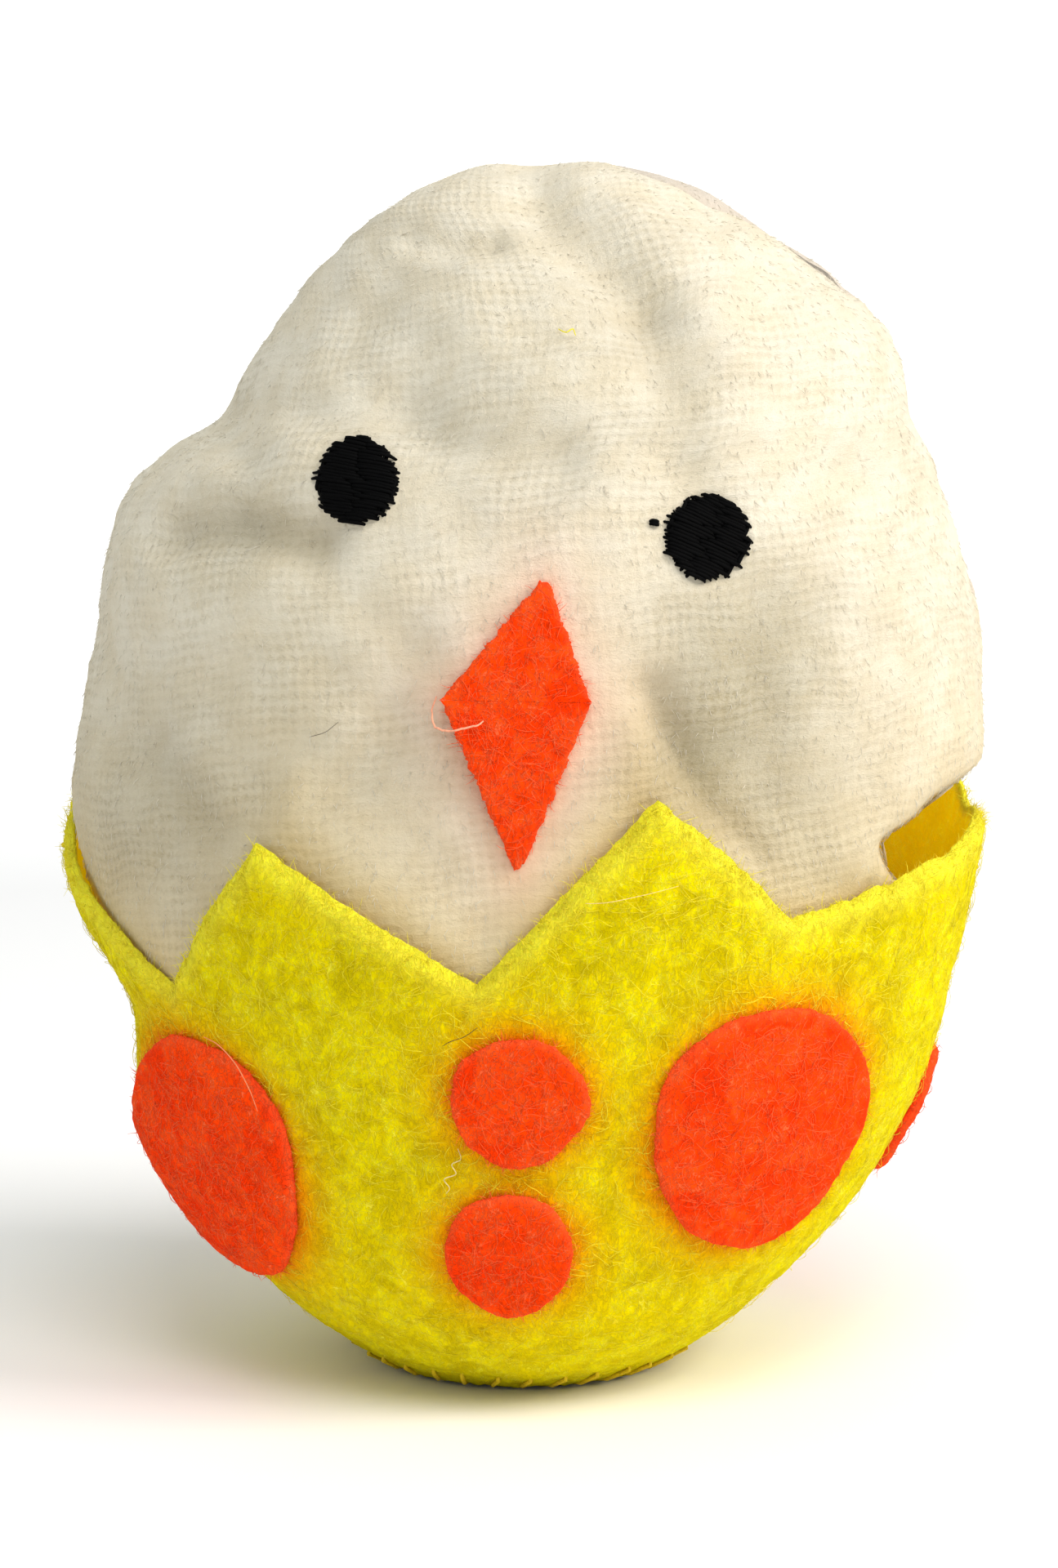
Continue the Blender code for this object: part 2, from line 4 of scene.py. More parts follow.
import bpy
import numpy as np
from mathutils import Vector
from mathutils.bvhtree import BVHTree
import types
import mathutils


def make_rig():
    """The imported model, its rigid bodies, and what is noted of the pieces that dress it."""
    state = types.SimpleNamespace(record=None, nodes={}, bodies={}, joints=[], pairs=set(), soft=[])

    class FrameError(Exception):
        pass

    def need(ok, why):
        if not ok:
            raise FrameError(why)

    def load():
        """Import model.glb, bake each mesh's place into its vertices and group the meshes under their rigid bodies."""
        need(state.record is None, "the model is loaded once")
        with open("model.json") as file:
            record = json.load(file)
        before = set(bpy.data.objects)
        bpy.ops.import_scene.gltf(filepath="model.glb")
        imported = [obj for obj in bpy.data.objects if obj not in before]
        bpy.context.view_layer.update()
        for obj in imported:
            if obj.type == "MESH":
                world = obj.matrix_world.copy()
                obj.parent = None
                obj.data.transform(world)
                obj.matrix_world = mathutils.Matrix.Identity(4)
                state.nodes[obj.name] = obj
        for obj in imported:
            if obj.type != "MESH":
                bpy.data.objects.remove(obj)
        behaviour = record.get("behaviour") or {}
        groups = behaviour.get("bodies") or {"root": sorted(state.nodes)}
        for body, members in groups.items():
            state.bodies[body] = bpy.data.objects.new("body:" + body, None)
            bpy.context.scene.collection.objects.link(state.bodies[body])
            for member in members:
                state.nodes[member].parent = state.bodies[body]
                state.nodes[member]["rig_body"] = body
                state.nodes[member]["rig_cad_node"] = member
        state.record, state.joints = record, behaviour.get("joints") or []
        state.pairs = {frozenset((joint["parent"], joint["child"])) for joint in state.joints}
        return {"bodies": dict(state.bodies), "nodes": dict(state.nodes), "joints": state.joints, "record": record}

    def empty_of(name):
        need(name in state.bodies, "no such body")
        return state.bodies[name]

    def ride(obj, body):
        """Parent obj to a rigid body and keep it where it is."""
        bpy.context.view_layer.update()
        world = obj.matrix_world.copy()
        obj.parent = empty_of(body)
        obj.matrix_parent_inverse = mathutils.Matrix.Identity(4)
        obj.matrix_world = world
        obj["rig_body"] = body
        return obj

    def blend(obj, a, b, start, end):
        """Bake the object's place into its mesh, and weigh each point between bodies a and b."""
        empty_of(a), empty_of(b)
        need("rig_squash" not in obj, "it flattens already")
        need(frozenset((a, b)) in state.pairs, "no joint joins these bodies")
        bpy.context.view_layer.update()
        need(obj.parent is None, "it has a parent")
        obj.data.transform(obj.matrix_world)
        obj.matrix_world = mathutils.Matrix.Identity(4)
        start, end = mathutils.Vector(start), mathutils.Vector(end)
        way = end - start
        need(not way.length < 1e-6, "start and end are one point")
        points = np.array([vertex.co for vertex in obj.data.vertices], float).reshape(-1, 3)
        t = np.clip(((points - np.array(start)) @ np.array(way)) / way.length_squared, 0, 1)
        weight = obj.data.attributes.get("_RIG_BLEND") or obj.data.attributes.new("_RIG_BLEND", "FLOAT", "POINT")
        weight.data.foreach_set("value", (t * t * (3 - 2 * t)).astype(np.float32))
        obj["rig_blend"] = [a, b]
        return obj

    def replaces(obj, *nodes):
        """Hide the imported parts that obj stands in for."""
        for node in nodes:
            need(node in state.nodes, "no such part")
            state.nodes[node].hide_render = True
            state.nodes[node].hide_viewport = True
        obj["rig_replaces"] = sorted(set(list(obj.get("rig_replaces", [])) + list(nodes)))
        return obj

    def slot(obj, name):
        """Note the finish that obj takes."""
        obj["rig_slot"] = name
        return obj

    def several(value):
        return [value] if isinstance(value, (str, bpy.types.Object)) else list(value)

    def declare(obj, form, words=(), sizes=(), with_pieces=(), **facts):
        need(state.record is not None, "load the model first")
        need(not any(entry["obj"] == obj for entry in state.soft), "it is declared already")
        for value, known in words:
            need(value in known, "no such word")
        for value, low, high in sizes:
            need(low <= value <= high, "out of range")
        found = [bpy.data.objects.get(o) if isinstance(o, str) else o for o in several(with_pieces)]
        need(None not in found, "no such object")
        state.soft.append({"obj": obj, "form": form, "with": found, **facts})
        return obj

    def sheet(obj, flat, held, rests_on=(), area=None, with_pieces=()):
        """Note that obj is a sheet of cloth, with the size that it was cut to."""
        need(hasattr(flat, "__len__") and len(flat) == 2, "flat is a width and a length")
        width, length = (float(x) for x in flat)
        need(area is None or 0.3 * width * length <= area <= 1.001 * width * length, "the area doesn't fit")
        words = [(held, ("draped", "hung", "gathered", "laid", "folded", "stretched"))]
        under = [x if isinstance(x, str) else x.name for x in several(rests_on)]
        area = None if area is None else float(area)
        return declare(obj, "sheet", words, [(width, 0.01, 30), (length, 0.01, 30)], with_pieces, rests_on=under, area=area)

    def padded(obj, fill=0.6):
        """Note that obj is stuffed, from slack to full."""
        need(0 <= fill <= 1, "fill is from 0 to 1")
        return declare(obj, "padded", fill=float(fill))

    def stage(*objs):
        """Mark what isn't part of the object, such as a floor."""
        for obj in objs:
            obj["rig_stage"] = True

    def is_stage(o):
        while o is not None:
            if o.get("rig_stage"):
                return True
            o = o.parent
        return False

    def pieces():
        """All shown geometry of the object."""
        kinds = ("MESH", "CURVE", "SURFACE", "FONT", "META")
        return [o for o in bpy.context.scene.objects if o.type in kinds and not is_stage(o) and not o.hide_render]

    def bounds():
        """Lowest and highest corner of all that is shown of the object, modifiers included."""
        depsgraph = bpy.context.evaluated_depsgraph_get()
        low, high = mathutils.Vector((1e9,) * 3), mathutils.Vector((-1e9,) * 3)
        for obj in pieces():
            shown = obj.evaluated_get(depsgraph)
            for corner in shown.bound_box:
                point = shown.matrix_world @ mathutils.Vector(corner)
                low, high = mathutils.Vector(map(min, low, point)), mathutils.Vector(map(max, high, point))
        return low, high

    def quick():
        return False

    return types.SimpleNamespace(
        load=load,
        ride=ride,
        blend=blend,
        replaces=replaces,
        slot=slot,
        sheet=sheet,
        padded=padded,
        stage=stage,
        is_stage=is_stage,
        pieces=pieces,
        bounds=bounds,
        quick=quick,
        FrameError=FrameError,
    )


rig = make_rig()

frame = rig.load()
CAD_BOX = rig.bounds()

# Looks of the stuffed velour chick in its felt eggshell.  +Z is up and the chick faces -Y.
MM = 0.001

# --- chick: height, left side, right side, half depth ---
CHICK_ROWS = (
    (2.0, 0.0, 0.0, 0.0),
    (5.0, -13.6, 13.2, 13.5),
    (10.0, -21.8, 21.3, 20.5),
    (20.0, -30.0, 29.2, 27.5),
    (30.0, -34.8, 33.2, 30.2),
    (40.0, -37.6, 36.6, 31.8),
    (46.0, -39.2, 39.2, 32.8),
    (50.0, -40.4, 40.6, 33.3),
    (53.8, -41.0, 41.4, 33.6),
    (59.6, -40.0, 41.9, 34.0),
    (65.6, -38.7, 41.7, 33.8),
    (71.6, -38.0, 40.7, 33.2),
    (77.6, -36.4, 39.0, 32.0),
    (80.6, -34.6, 37.9, 31.3),
    (83.5, -31.2, 36.9, 30.4),
    (86.5, -26.9, 35.3, 29.3),
    (89.5, -25.2, 34.5, 27.9),
    (92.4, -23.1, 33.2, 26.3),
    (95.4, -21.0, 31.3, 24.3),
    (98.3, -18.9, 28.6, 21.8),
    (101.3, -16.3, 24.9, 18.7),
    (104.2, -13.4, 19.7, 14.5),
    (107.1, -8.2, 14.6, 9.8),
    (109.5, 5.0, 5.0, 0.0),
)
CHICK_BOTTOM = 2.0
CHICK_TOP = 109.5
CHICK_SQUARENESS = 2.08
# The right side is pinched in where it stands clear of the eggshell: height, furthest x.
PINCH_ROWS = ((38.0, 41.0), (42.0, 36.0), (45.0, 33.6), (47.5, 33.0), (49.3, 35.6), (51.5, 37.8),
              (53.4, 40.6), (56.0, 44.0))
BODY_LEVELS = 240
BODY_TURNS = 360
SKIN_STEP = 5                      # the cloth trial uses every fifth point each way
SKIN_CAP = 1.6                     # furthest that the trial may move a point
SKIN_FRAMES = 20
TRIAL_SCALE = 10                   # the trial is made larger than life
PRESSED_ROOM = 1.8                 # from the wall's outer face to where the chick presses on it
PUCKER_PITCH = 3.4                 # along the side seam
PILE_HAIRS = 14000
TUFT_PITCH = (1.0, 1.05)           # distance between the velour's columns and between its rows

# Folds and hollows of the loosely stuffed front: (x, height) points, reach, depth (minus = ridge).
FRONT_FOLDS = (
    (((-29.5, 76.2), (-24.6, 77.5), (-20.2, 77.0), (-17.6, 76.4)), 2.5, 2.3),
    (((-26.5, 86.0), (-23.8, 83.4)), 2.2, 1.0),
    (((-29.0, 71.0), (-24.0, 70.0)), 4.5, -0.9),
    (((1.2, 105.7), (3.5, 102.3), (7.3, 99.0), (10.3, 94.8)), 2.7, 0.9),
    (((10.3, 94.8), (11.9, 91.4), (12.9, 87.3), (12.9, 83.3)), 3.0, 1.1),
    (((5.7, 106.5), (10.5, 101.9), (14.5, 96.9), (16.5, 92.1)), 2.8, -0.8),
    (((0.0, 92.0),), 6.5, -0.9),
    (((-9.2, 101.3), (-6.0, 100.9), (-2.8, 101.2)), 1.5, 0.9),
    (((-9.6, 86.6), (-5.4, 84.6), (-1.4, 83.3), (2.7, 82.6)), 2.4, 0.9),
    (((-9.4, 67.2), (-10.0, 60.0)), 3.6, 0.9),
    (((-27.0, 52.1), (-32.3, 57.9)), 3.6, 1.1),
    (((-20.0, 62.0), (-24.0, 66.0)), 5.0, -0.6),
    (((10.8, 63.9), (12.1, 60.5), (13.2, 57.0), (15.0, 53.5), (18.5, 50.5)), 1.9, 1.3),
    (((20.4, 71.1), (20.5, 62.9), (20.9, 54.6)), 2.8, 0.9),
    (((28.1, 49.5),), 3.6, -1.1),
    (((24.4, 47.0), (24.0, 43.5)), 0.6, 0.5),
    (((26.7, 47.6), (26.2, 43.8)), 0.6, 0.5),
    (((29.0, 47.2), (28.6, 43.6)), 0.6, 0.5),
    (((31.2, 46.6), (30.8, 43.4)), 0.6, 0.4),
)
BACK_FOLDS = (
    (((-20.0, 84.0), (-14.0, 80.0), (-9.0, 79.0)), 3.0, 1.5),
    (((12.0, 96.0), (10.0, 88.0), (13.0, 80.0)), 3.2, 1.4),
    (((-2.0, 70.0), (3.0, 62.0), (2.0, 55.0)), 3.6, 1.0),
    (((22.0, 66.0), (26.0, 60.0)), 3.6, 1.3),
    (((-26.0, 62.0), (-22.0, 56.0)), 3.4, 1.2),
    (((0.0, 88.0),), 7.0, -0.9),
)

# Painted shade on the front of the velour: x, height, reach, strength.
PAINTED_SHADE_PATCHES = (
    (18.5, 66.5, 8.5, 0.72),
    (14.0, 56.5, 6.5, 0.65),
    (24.0, 52.0, 7.0, 0.42),
    (-31.0, 51.5, 11.0, 0.62),
    (-24.0, 76.8, 5.5, 0.42),
    (-17.0, 66.0, 11.0, 0.24),
    (-10.0, 55.0, 8.0, 0.18),
    (8.0, 97.5, 6.0, 0.22),
    (12.5, 88.0, 5.0, 0.24),
    (-12.0, 100.0, 4.5, 0.16),
    (0.0, 84.0, 8.0, 0.20),
    (-4.0, 94.0, 9.0, 0.12),
)
# Painted shadow under the beak's lifted left edge: (x, height) points.
SHADE_UNDER_BEAK = ((-6.4, 61.0), (-4.2, 56.5), (-1.6, 50.2))

EYES = {"eye_left": (-13.8, 81.1), "eye_right": (15.3, 76.5)}
EYE_RADIUS = 3.5
# The embroidery's two layers: turn in degrees, pitch of its rows, lift, thread's radius, and
# share of the eye's radius.
EYE_LAYERS = ((84, 0.34, 0.20, 0.20, 0.97), (0, 0.27, 0.46, 0.19, 1.0))
JUMP_STITCH = (10.9, 77.7)         # a short loose stitch left of the right eye
STITCH_SHAPE = np.array((0.55, 0.9, 1, 1, 1, 0.9, 0.55))    # thread's radius from end to end
JUMP_SHAPE = np.array((0.5, 0.9, 1, 1, 1, 0.8, 0.3))

# --- beak: a felt kite sewn down across its widest line ---
BEAK_LEFT = (-6.5, 63.3)
BEAK_RIGHT = (5.6, 63.1)
BEAK_TOP = (1.8, 73.0)
BEAK_BOTTOM = (-0.3, 49.2)
BEAK_FOLD_HEIGHT = 63.2
BEAK_BEND = (0.4, 2.2)             # each half bends between these distances from the fold
BEAK_RAGGED = 0.14

# --- eggshell: height, half width, half depth ---
SHELL_ROWS = (
    (0.3, 13.9, 15.5),
    (3.6, 18.5, 21.8),
    (8.0, 24.0, 26.3),
    (13.7, 29.5, 29.2),
    (20.0, 33.6, 31.0),
    (27.0, 36.9, 32.6),
    (35.0, 39.4, 34.3),
    (44.0, 41.6, 36.0),
    (52.0, 43.0, 37.3),
    (58.0, 43.6, 38.0),
)
RIM_CORNERS = (
    (-121.0, 39.0), (-97.0, 51.5), (-51.5, 37.0), (-32.0, 50.8), (-5.4, 39.3), (15.2, 55.1),
    (33.8, 44.2), (80.0, 50.7), (97.0, 50.2), (104.5, 52.6), (122.0, 50.0), (143.0, 41.0),
    (166.0, 51.5), (190.0, 38.8), (213.0, 52.0), (239.0, 39.0), (263.0, 51.5), (308.5, 37.0),
)
SHELL_FELT = 1.2
TRIM_FELT = 1.0
FELT_RELIEF = 0.2
PANEL_FLAT = (126.0, 70.0)         # each wall panel as it was cut
PANEL_AZIMUTHS = {"shell_front_panel": (-90.0, 90.0), "shell_back_panel": (90.0, 270.0)}
WALL_COLUMNS = 300
WALL_COURSES = 58
WALL_FIBRES = 4200
MEAN_RADIUS = 38
# The wall's section over its cut rim: distance down from the rim, lift from the outer face.
RIM_SECTION = ((1.3, 0.0), (1.0, -0.10), (0.7, -0.27), (0.4, -0.5), (0.12, -0.78), (0.0, -0.98),
               (0.1, -1.12), (0.3, -SHELL_FELT))
BASE_HALF_WIDTH = 12.2
BASE_HALF_DEPTH = 13.8
BASE_RINGS = 14
BASE_TURNS = 120
BASE_STITCHES = 34

# Dots: azimuth in degrees (0 is the front, 90 is +X), height, half width, half height.
DOTS = {
    "dot_front_large_left": (-54.2, 21.4, 12.2, 11.8),
    "dot_front_large_right": (35.2, 26.0, 11.4, 11.3),
    "dot_front_small_upper": (-0.6, 29.6, 5.6, 5.8),
    "dot_front_small_lower": (-2.1, 16.0, 5.3, 5.8),
    "dot_side_small_right": (92.0, 22.8, 6.2, 6.4),
    "dot_side_small_left": (-108.0, 23.0, 6.0, 6.1),
    "dot_back_large": (146.0, 23.0, 11.6, 11.6),
    "dot_back_small_upper": (192.0, 28.5, 5.7, 5.7),
    "dot_back_small_lower": (193.0, 15.0, 5.5, 5.7),
}
DOT_POINTS = 150


# --- numbers ---
def curve_through(knots, values):
    """The smooth curve through (knot, value) points, as a function of an array."""
    knots, values = np.array(knots, float), np.array(values, float)
    last = len(knots) - 1
    before = np.maximum(np.arange(last + 1) - 1, 0)
    after = np.minimum(np.arange(last + 1) + 1, last)
    slopes = (values[after] - values[before]) / (knots[after] - knots[before])

    def at(x):
        x = np.clip(x, knots[0], knots[last])
        i = np.clip(np.searchsorted(knots, x) - 1, 0, last - 1)
        span = knots[i + 1] - knots[i]
        t = (x - knots[i]) / span
        return ((2 * t ** 3 - 3 * t ** 2 + 1) * values[i]
                + (t ** 3 - 2 * t ** 2 + t) * span * slopes[i]
                + (3 * t ** 2 - 2 * t ** 3) * values[i + 1]
                + (t ** 3 - t ** 2) * span * slopes[i + 1])

    return at


def unit(vectors):
    return vectors / np.maximum(np.linalg.norm(vectors, axis=-1, keepdims=True), 1e-12)


def ripples(points, scale, seed):
    """Smooth random relief, mostly from -1 to 1, with bumps about scale apart."""
    picker = np.random.default_rng(seed)
    waves = 28
    ways = unit(picker.normal(size=(waves, points.shape[-1])))
    ways *= (2 * math.pi / scale * picker.uniform(0.6, 1.4, waves))[:, None]
    phases = picker.uniform(0, 2 * math.pi, waves)
    return np.cos(points @ ways.T + phases).sum(-1) * math.sqrt(2 / waves) * 0.6


def smoothstep(low, high, x):
    t = np.clip((x - low) / (high - low), 0, 1)
    return t * t * (3 - 2 * t)


def distance_to_line(x, z, line):
    """Distance of each (x, z) from a line of points, or from a single point."""
    if len(line) == 1:
        return np.hypot(x - line[0][0], z - line[0][1])
    best = np.full(np.shape(x), np.inf)
    for (ax, az), (bx, bz) in zip(line, line[1:]):
        dx, dz = bx - ax, bz - az
        t = np.clip(((x - ax) * dx + (z - az) * dz) / (dx * dx + dz * dz), 0, 1)
        best = np.minimum(best, np.hypot(x - ax - t * dx, z - az - t * dz))
    return best


# --- meshes ---
def mesh_object(name, points, faces, material):
    """A smooth-shaded object.  points are in mm."""
    mesh = bpy.data.meshes.new(name)
    mesh.from_pydata((np.asarray(points) * MM).tolist(), [], faces)
    mesh.validate()
    mesh.shade_smooth()
    mesh.materials.append(material)
    obj = bpy.data.objects.new(name, mesh)
    bpy.context.collection.objects.link(obj)
    return obj


def give_values(obj, name, values):
    """Stores one number per vertex, which the materials read by its name."""
    layer = obj.data.attributes.new(name, "FLOAT", "POINT")
    layer.data.foreach_set("value", np.asarray(values, np.float32).ravel())


def sharpen(obj, degrees=60):
    obj.data.set_sharp_from_angle(angle=math.radians(degrees))


def ring_quads(index):
    """Quads between neighbouring rings of vertex numbers: (..., rings, points round)."""
    low, high = index[..., :-1, :], index[..., 1:, :]
    corners = (low, np.roll(low, -1, -1), np.roll(high, -1, -1), high)
    return np.stack(corners, -1).reshape(-1, 4).tolist()


def closed_faces(index, first, last, downward=False):
    """Faces of a stack of rings with a pole beyond each end, which may be stacked downward."""
    faces = ring_quads(index)
    faces += [(first, b, a) for a, b in zip(index[0], np.roll(index[0], -1))]
    faces += [(last, a, b) for a, b in zip(index[-1], np.roll(index[-1], -1))]
    return [(face[0], *face[:0:-1]) for face in faces] if downward else faces


def tubes(name, routes, radii, material, sides=3, flat=1.0, up=None):
    """Many closed threads in one mesh.

    routes is (threads, points, 3), radii is (threads, points).  flat squeezes the threads along
    up, their (threads, 3) directions of the cloth's normal.
    """
    routes, radii = np.asarray(routes, float), np.asarray(radii, float)
    threads, count = routes.shape[:2]
    ahead = unit(np.gradient(routes, axis=1))
    if up is None:
        up = np.tile([[0.31, 0.52, 0.79]], (threads, 1))
    side = unit(np.cross(ahead, up[:, None, :]))
    over = np.cross(side, ahead)
    angles = 2 * math.pi * np.arange(sides) / sides
    ring = (side[:, :, None, :] * np.cos(angles)[None, None, :, None]
            + over[:, :, None, :] * (np.sin(angles) * flat)[None, None, :, None])
    points = routes[:, :, None, :] + ring * radii[:, :, None, None]
    index = np.arange(threads * count * sides).reshape(threads, count, sides)
    faces = ring_quads(index) + index[:, 0, ::-1].tolist() + index[:, -1].tolist()
    return mesh_object(name, points.reshape(-1, 3), faces, material)


# --- materials ---
class Look:
    """A Principled material under construction, with short names for its nodes."""

    def __init__(self, name, roughness=0.9, sheen=0.0, sheen_tint=(1, 1, 1), specular=0.3):
        self.material = bpy.data.materials.new(name)
        self.material.use_nodes = True
        self.tree = self.material.node_tree
        self.shader = self.tree.nodes["Principled BSDF"]
        self.shader.inputs["Roughness"].default_value = roughness
        self.shader.inputs["Sheen Weight"].default_value = sheen
        self.shader.inputs["Sheen Roughness"].default_value = 0.45
        self.shader.inputs["Sheen Tint"].default_value = (*sheen_tint, 1)
        self.shader.inputs["Specular IOR Level"].default_value = specular

    def node(self, kind, **settings):
        made = self.tree.nodes.new(kind)
        for key, value in settings.items():
            setattr(made, key, value)
        return made

    def link(self, source, target):
        self.tree.links.new(source, target)

    def put(self, socket, value):
        """Sets a socket to a number, or links it to another socket."""
        if isinstance(value, bpy.types.NodeSocket):
            self.link(value, socket)
        else:
            socket.default_value = value

    def math(self, operation, a, b=0.0, c=0.0):
        made = self.node("ShaderNodeMath", operation=operation)
        for socket, value in zip(made.inputs, (a, b, c)):
            self.put(socket, value)
        return made.outputs[0]

    def times(self, a, b):
        return self.math("MULTIPLY", a, b)

    def value(self, name):
        """One of the numbers that give_values stored."""
        return self.node("ShaderNodeAttribute", attribute_name=name).outputs["Fac"]

    def place(self):
        return self.node("ShaderNodeTexCoord").outputs["Object"]

    def noise(self, vector, scale, detail=3.0, rough=0.55, distortion=0.0):
        made = self.node("ShaderNodeTexNoise")
        self.link(vector, made.inputs["Vector"])
        for key, value in (("Scale", scale), ("Detail", detail), ("Roughness", rough),
                           ("Distortion", distortion)):
            made.inputs[key].default_value = value
        return made.outputs["Fac"]

    def stretch(self, vector, scale, turn=(0, 0, 0)):
        made = self.node("ShaderNodeMapping")
        self.link(vector, made.inputs["Vector"])
        made.inputs["Scale"].default_value = scale
        made.inputs["Rotation"].default_value = [math.radians(a) for a in turn]
        return made.outputs[0]

    def ramp(self, value, low, high, to_low=0.0, to_high=1.0):
        made = self.node("ShaderNodeMapRange", interpolation_type="SMOOTHSTEP")
        for socket, number in zip(made.inputs, (value, low, high, to_low, to_high)):
            self.put(socket, number)
        return made.outputs[0]

    def mix(self, factor, a, b, blend="MIX"):
        made = self.node("ShaderNodeMix", data_type="RGBA", blend_type=blend)
        self.put(made.inputs[0], factor)
        for socket, value in ((made.inputs[6], a), (made.inputs[7], b)):
            self.put(socket, value if isinstance(value, bpy.types.NodeSocket) else (*value, 1))
        return made.outputs[2]

    def colour(self, socket):
        self.put(self.shader.inputs["Base Color"], socket)

    def bump(self, height, distance):
        made = self.node("ShaderNodeBump")
        made.inputs["Distance"].default_value = distance * MM
        self.link(height, made.inputs["Height"])
        self.link(made.outputs[0], self.shader.inputs["Normal"])


def velour_look():
    """Cream cotton velour: soft rows of small tufts, brushed smoother here and there.

    Its noise and waves run over the cloth's own coordinates, in mm.
    """
    look = Look("cream_velour_look", roughness=0.95, sheen=0.10, sheen_tint=(1.0, 0.96, 0.86),
                specular=0.1)
    grid = look.node("ShaderNodeCombineXYZ")
    look.link(look.value("fabric_u"), grid.inputs[0])
    look.link(look.value("fabric_v"), grid.inputs[1])
    cloth = look.stretch(grid.outputs[0], (1, 1, 1), (0, 0, -6))
    # the rows wander with a slow drift
    drift = look.node("ShaderNodeTexNoise")
    look.link(cloth, drift.inputs["Vector"])
    drift.inputs["Scale"].default_value = 0.11
    drift.inputs["Detail"].default_value = 2
    shifted = look.node("ShaderNodeVectorMath", operation="MULTIPLY_ADD")
    look.link(drift.outputs["Color"], shifted.inputs[0])
    shifted.inputs[1].default_value = (2.0, 2.6, 0)
    look.link(cloth, shifted.inputs[2])
    parts = look.node("ShaderNodeSeparateXYZ")
    look.link(shifted.outputs[0], parts.inputs[0])

    def wave(coordinate, pitch, shift):
        turned = look.math("MULTIPLY_ADD", coordinate, 2 * math.pi / pitch, shift)
        return look.math("MULTIPLY_ADD", look.math("SINE", turned), 0.5, 0.5)

    broken = look.noise(shifted.outputs[0], 0.75, 3, 0.7)
    rows = wave(parts.outputs[1], TUFT_PITCH[1], look.times(broken, 4.2))
    columns = wave(parts.outputs[0], TUFT_PITCH[0], look.times(broken, 5.0))
    tuft = look.math("MULTIPLY_ADD", rows, 0.62, look.times(columns, 0.38))
    pile = look.noise(look.stretch(shifted.outputs[0], (0.6, 1, 1)), 4.6, 4, 0.72)
    strength = look.ramp(look.noise(cloth, 0.12, 3, 0.6), 0.36, 0.66, 0.2, 0.85)
    height = look.math("MULTIPLY_ADD", look.times(tuft, strength), 0.75,
                       look.times(pile, 0.9))
    look.bump(height, 0.21)
    # tips are pale and the gaps between tufts are painted darker as shade, most in the painted shade patches
    patch = look.noise(cloth, 0.2, 4, 0.6)
    tip = look.mix(look.ramp(patch, 0.35, 0.65), (0.79, 0.71, 0.545), (0.84, 0.78, 0.64))
    gap = look.mix(patch, (0.56, 0.48, 0.31), (0.62, 0.55, 0.40))
    deep = look.times(look.ramp(tuft, 0.8, 0.05), look.ramp(pile, 0.74, 0.34))
    contrast = look.math("MULTIPLY_ADD", look.value("grey"), 0.75, 0.58)
    shaded = look.times(look.times(deep, strength), contrast)
    base = look.mix(shaded, tip, gap)
    fleck = look.ramp(look.noise(shifted.outputs[0], 2.6, 3, 0.65), 0.4, 0.66, 0, 0.4)
    base = look.mix(look.times(fleck, look.value("grey")), base, (0.98, 0.95, 0.86))
    for name, share, colour, blend in (
        # painted shade in the folds
        ("hollow", 0.45, (0.50, 0.42, 0.27), "MIX"),
        # painted shade patches and the painted shadow under the beak
        ("grey", 1.0, (0.52, 0.505, 0.43), "MULTIPLY"),
        # painted yellow bounce light from the eggshell, near its rim's height
        ("bounce", 0.8, (0.95, 0.80, 0.48), "MULTIPLY"),
        # painted shade on the back panel
        ("back", 0.6, (0.62, 0.54, 0.48), "MIX"),
        # painted orange light reflected from the beak
        ("blush", 0.5, (0.96, 0.50, 0.33), "MIX"),
    ):
        base = look.mix(look.times(look.value(name), share), base, colour, blend)
    look.colour(base)
    return look.material


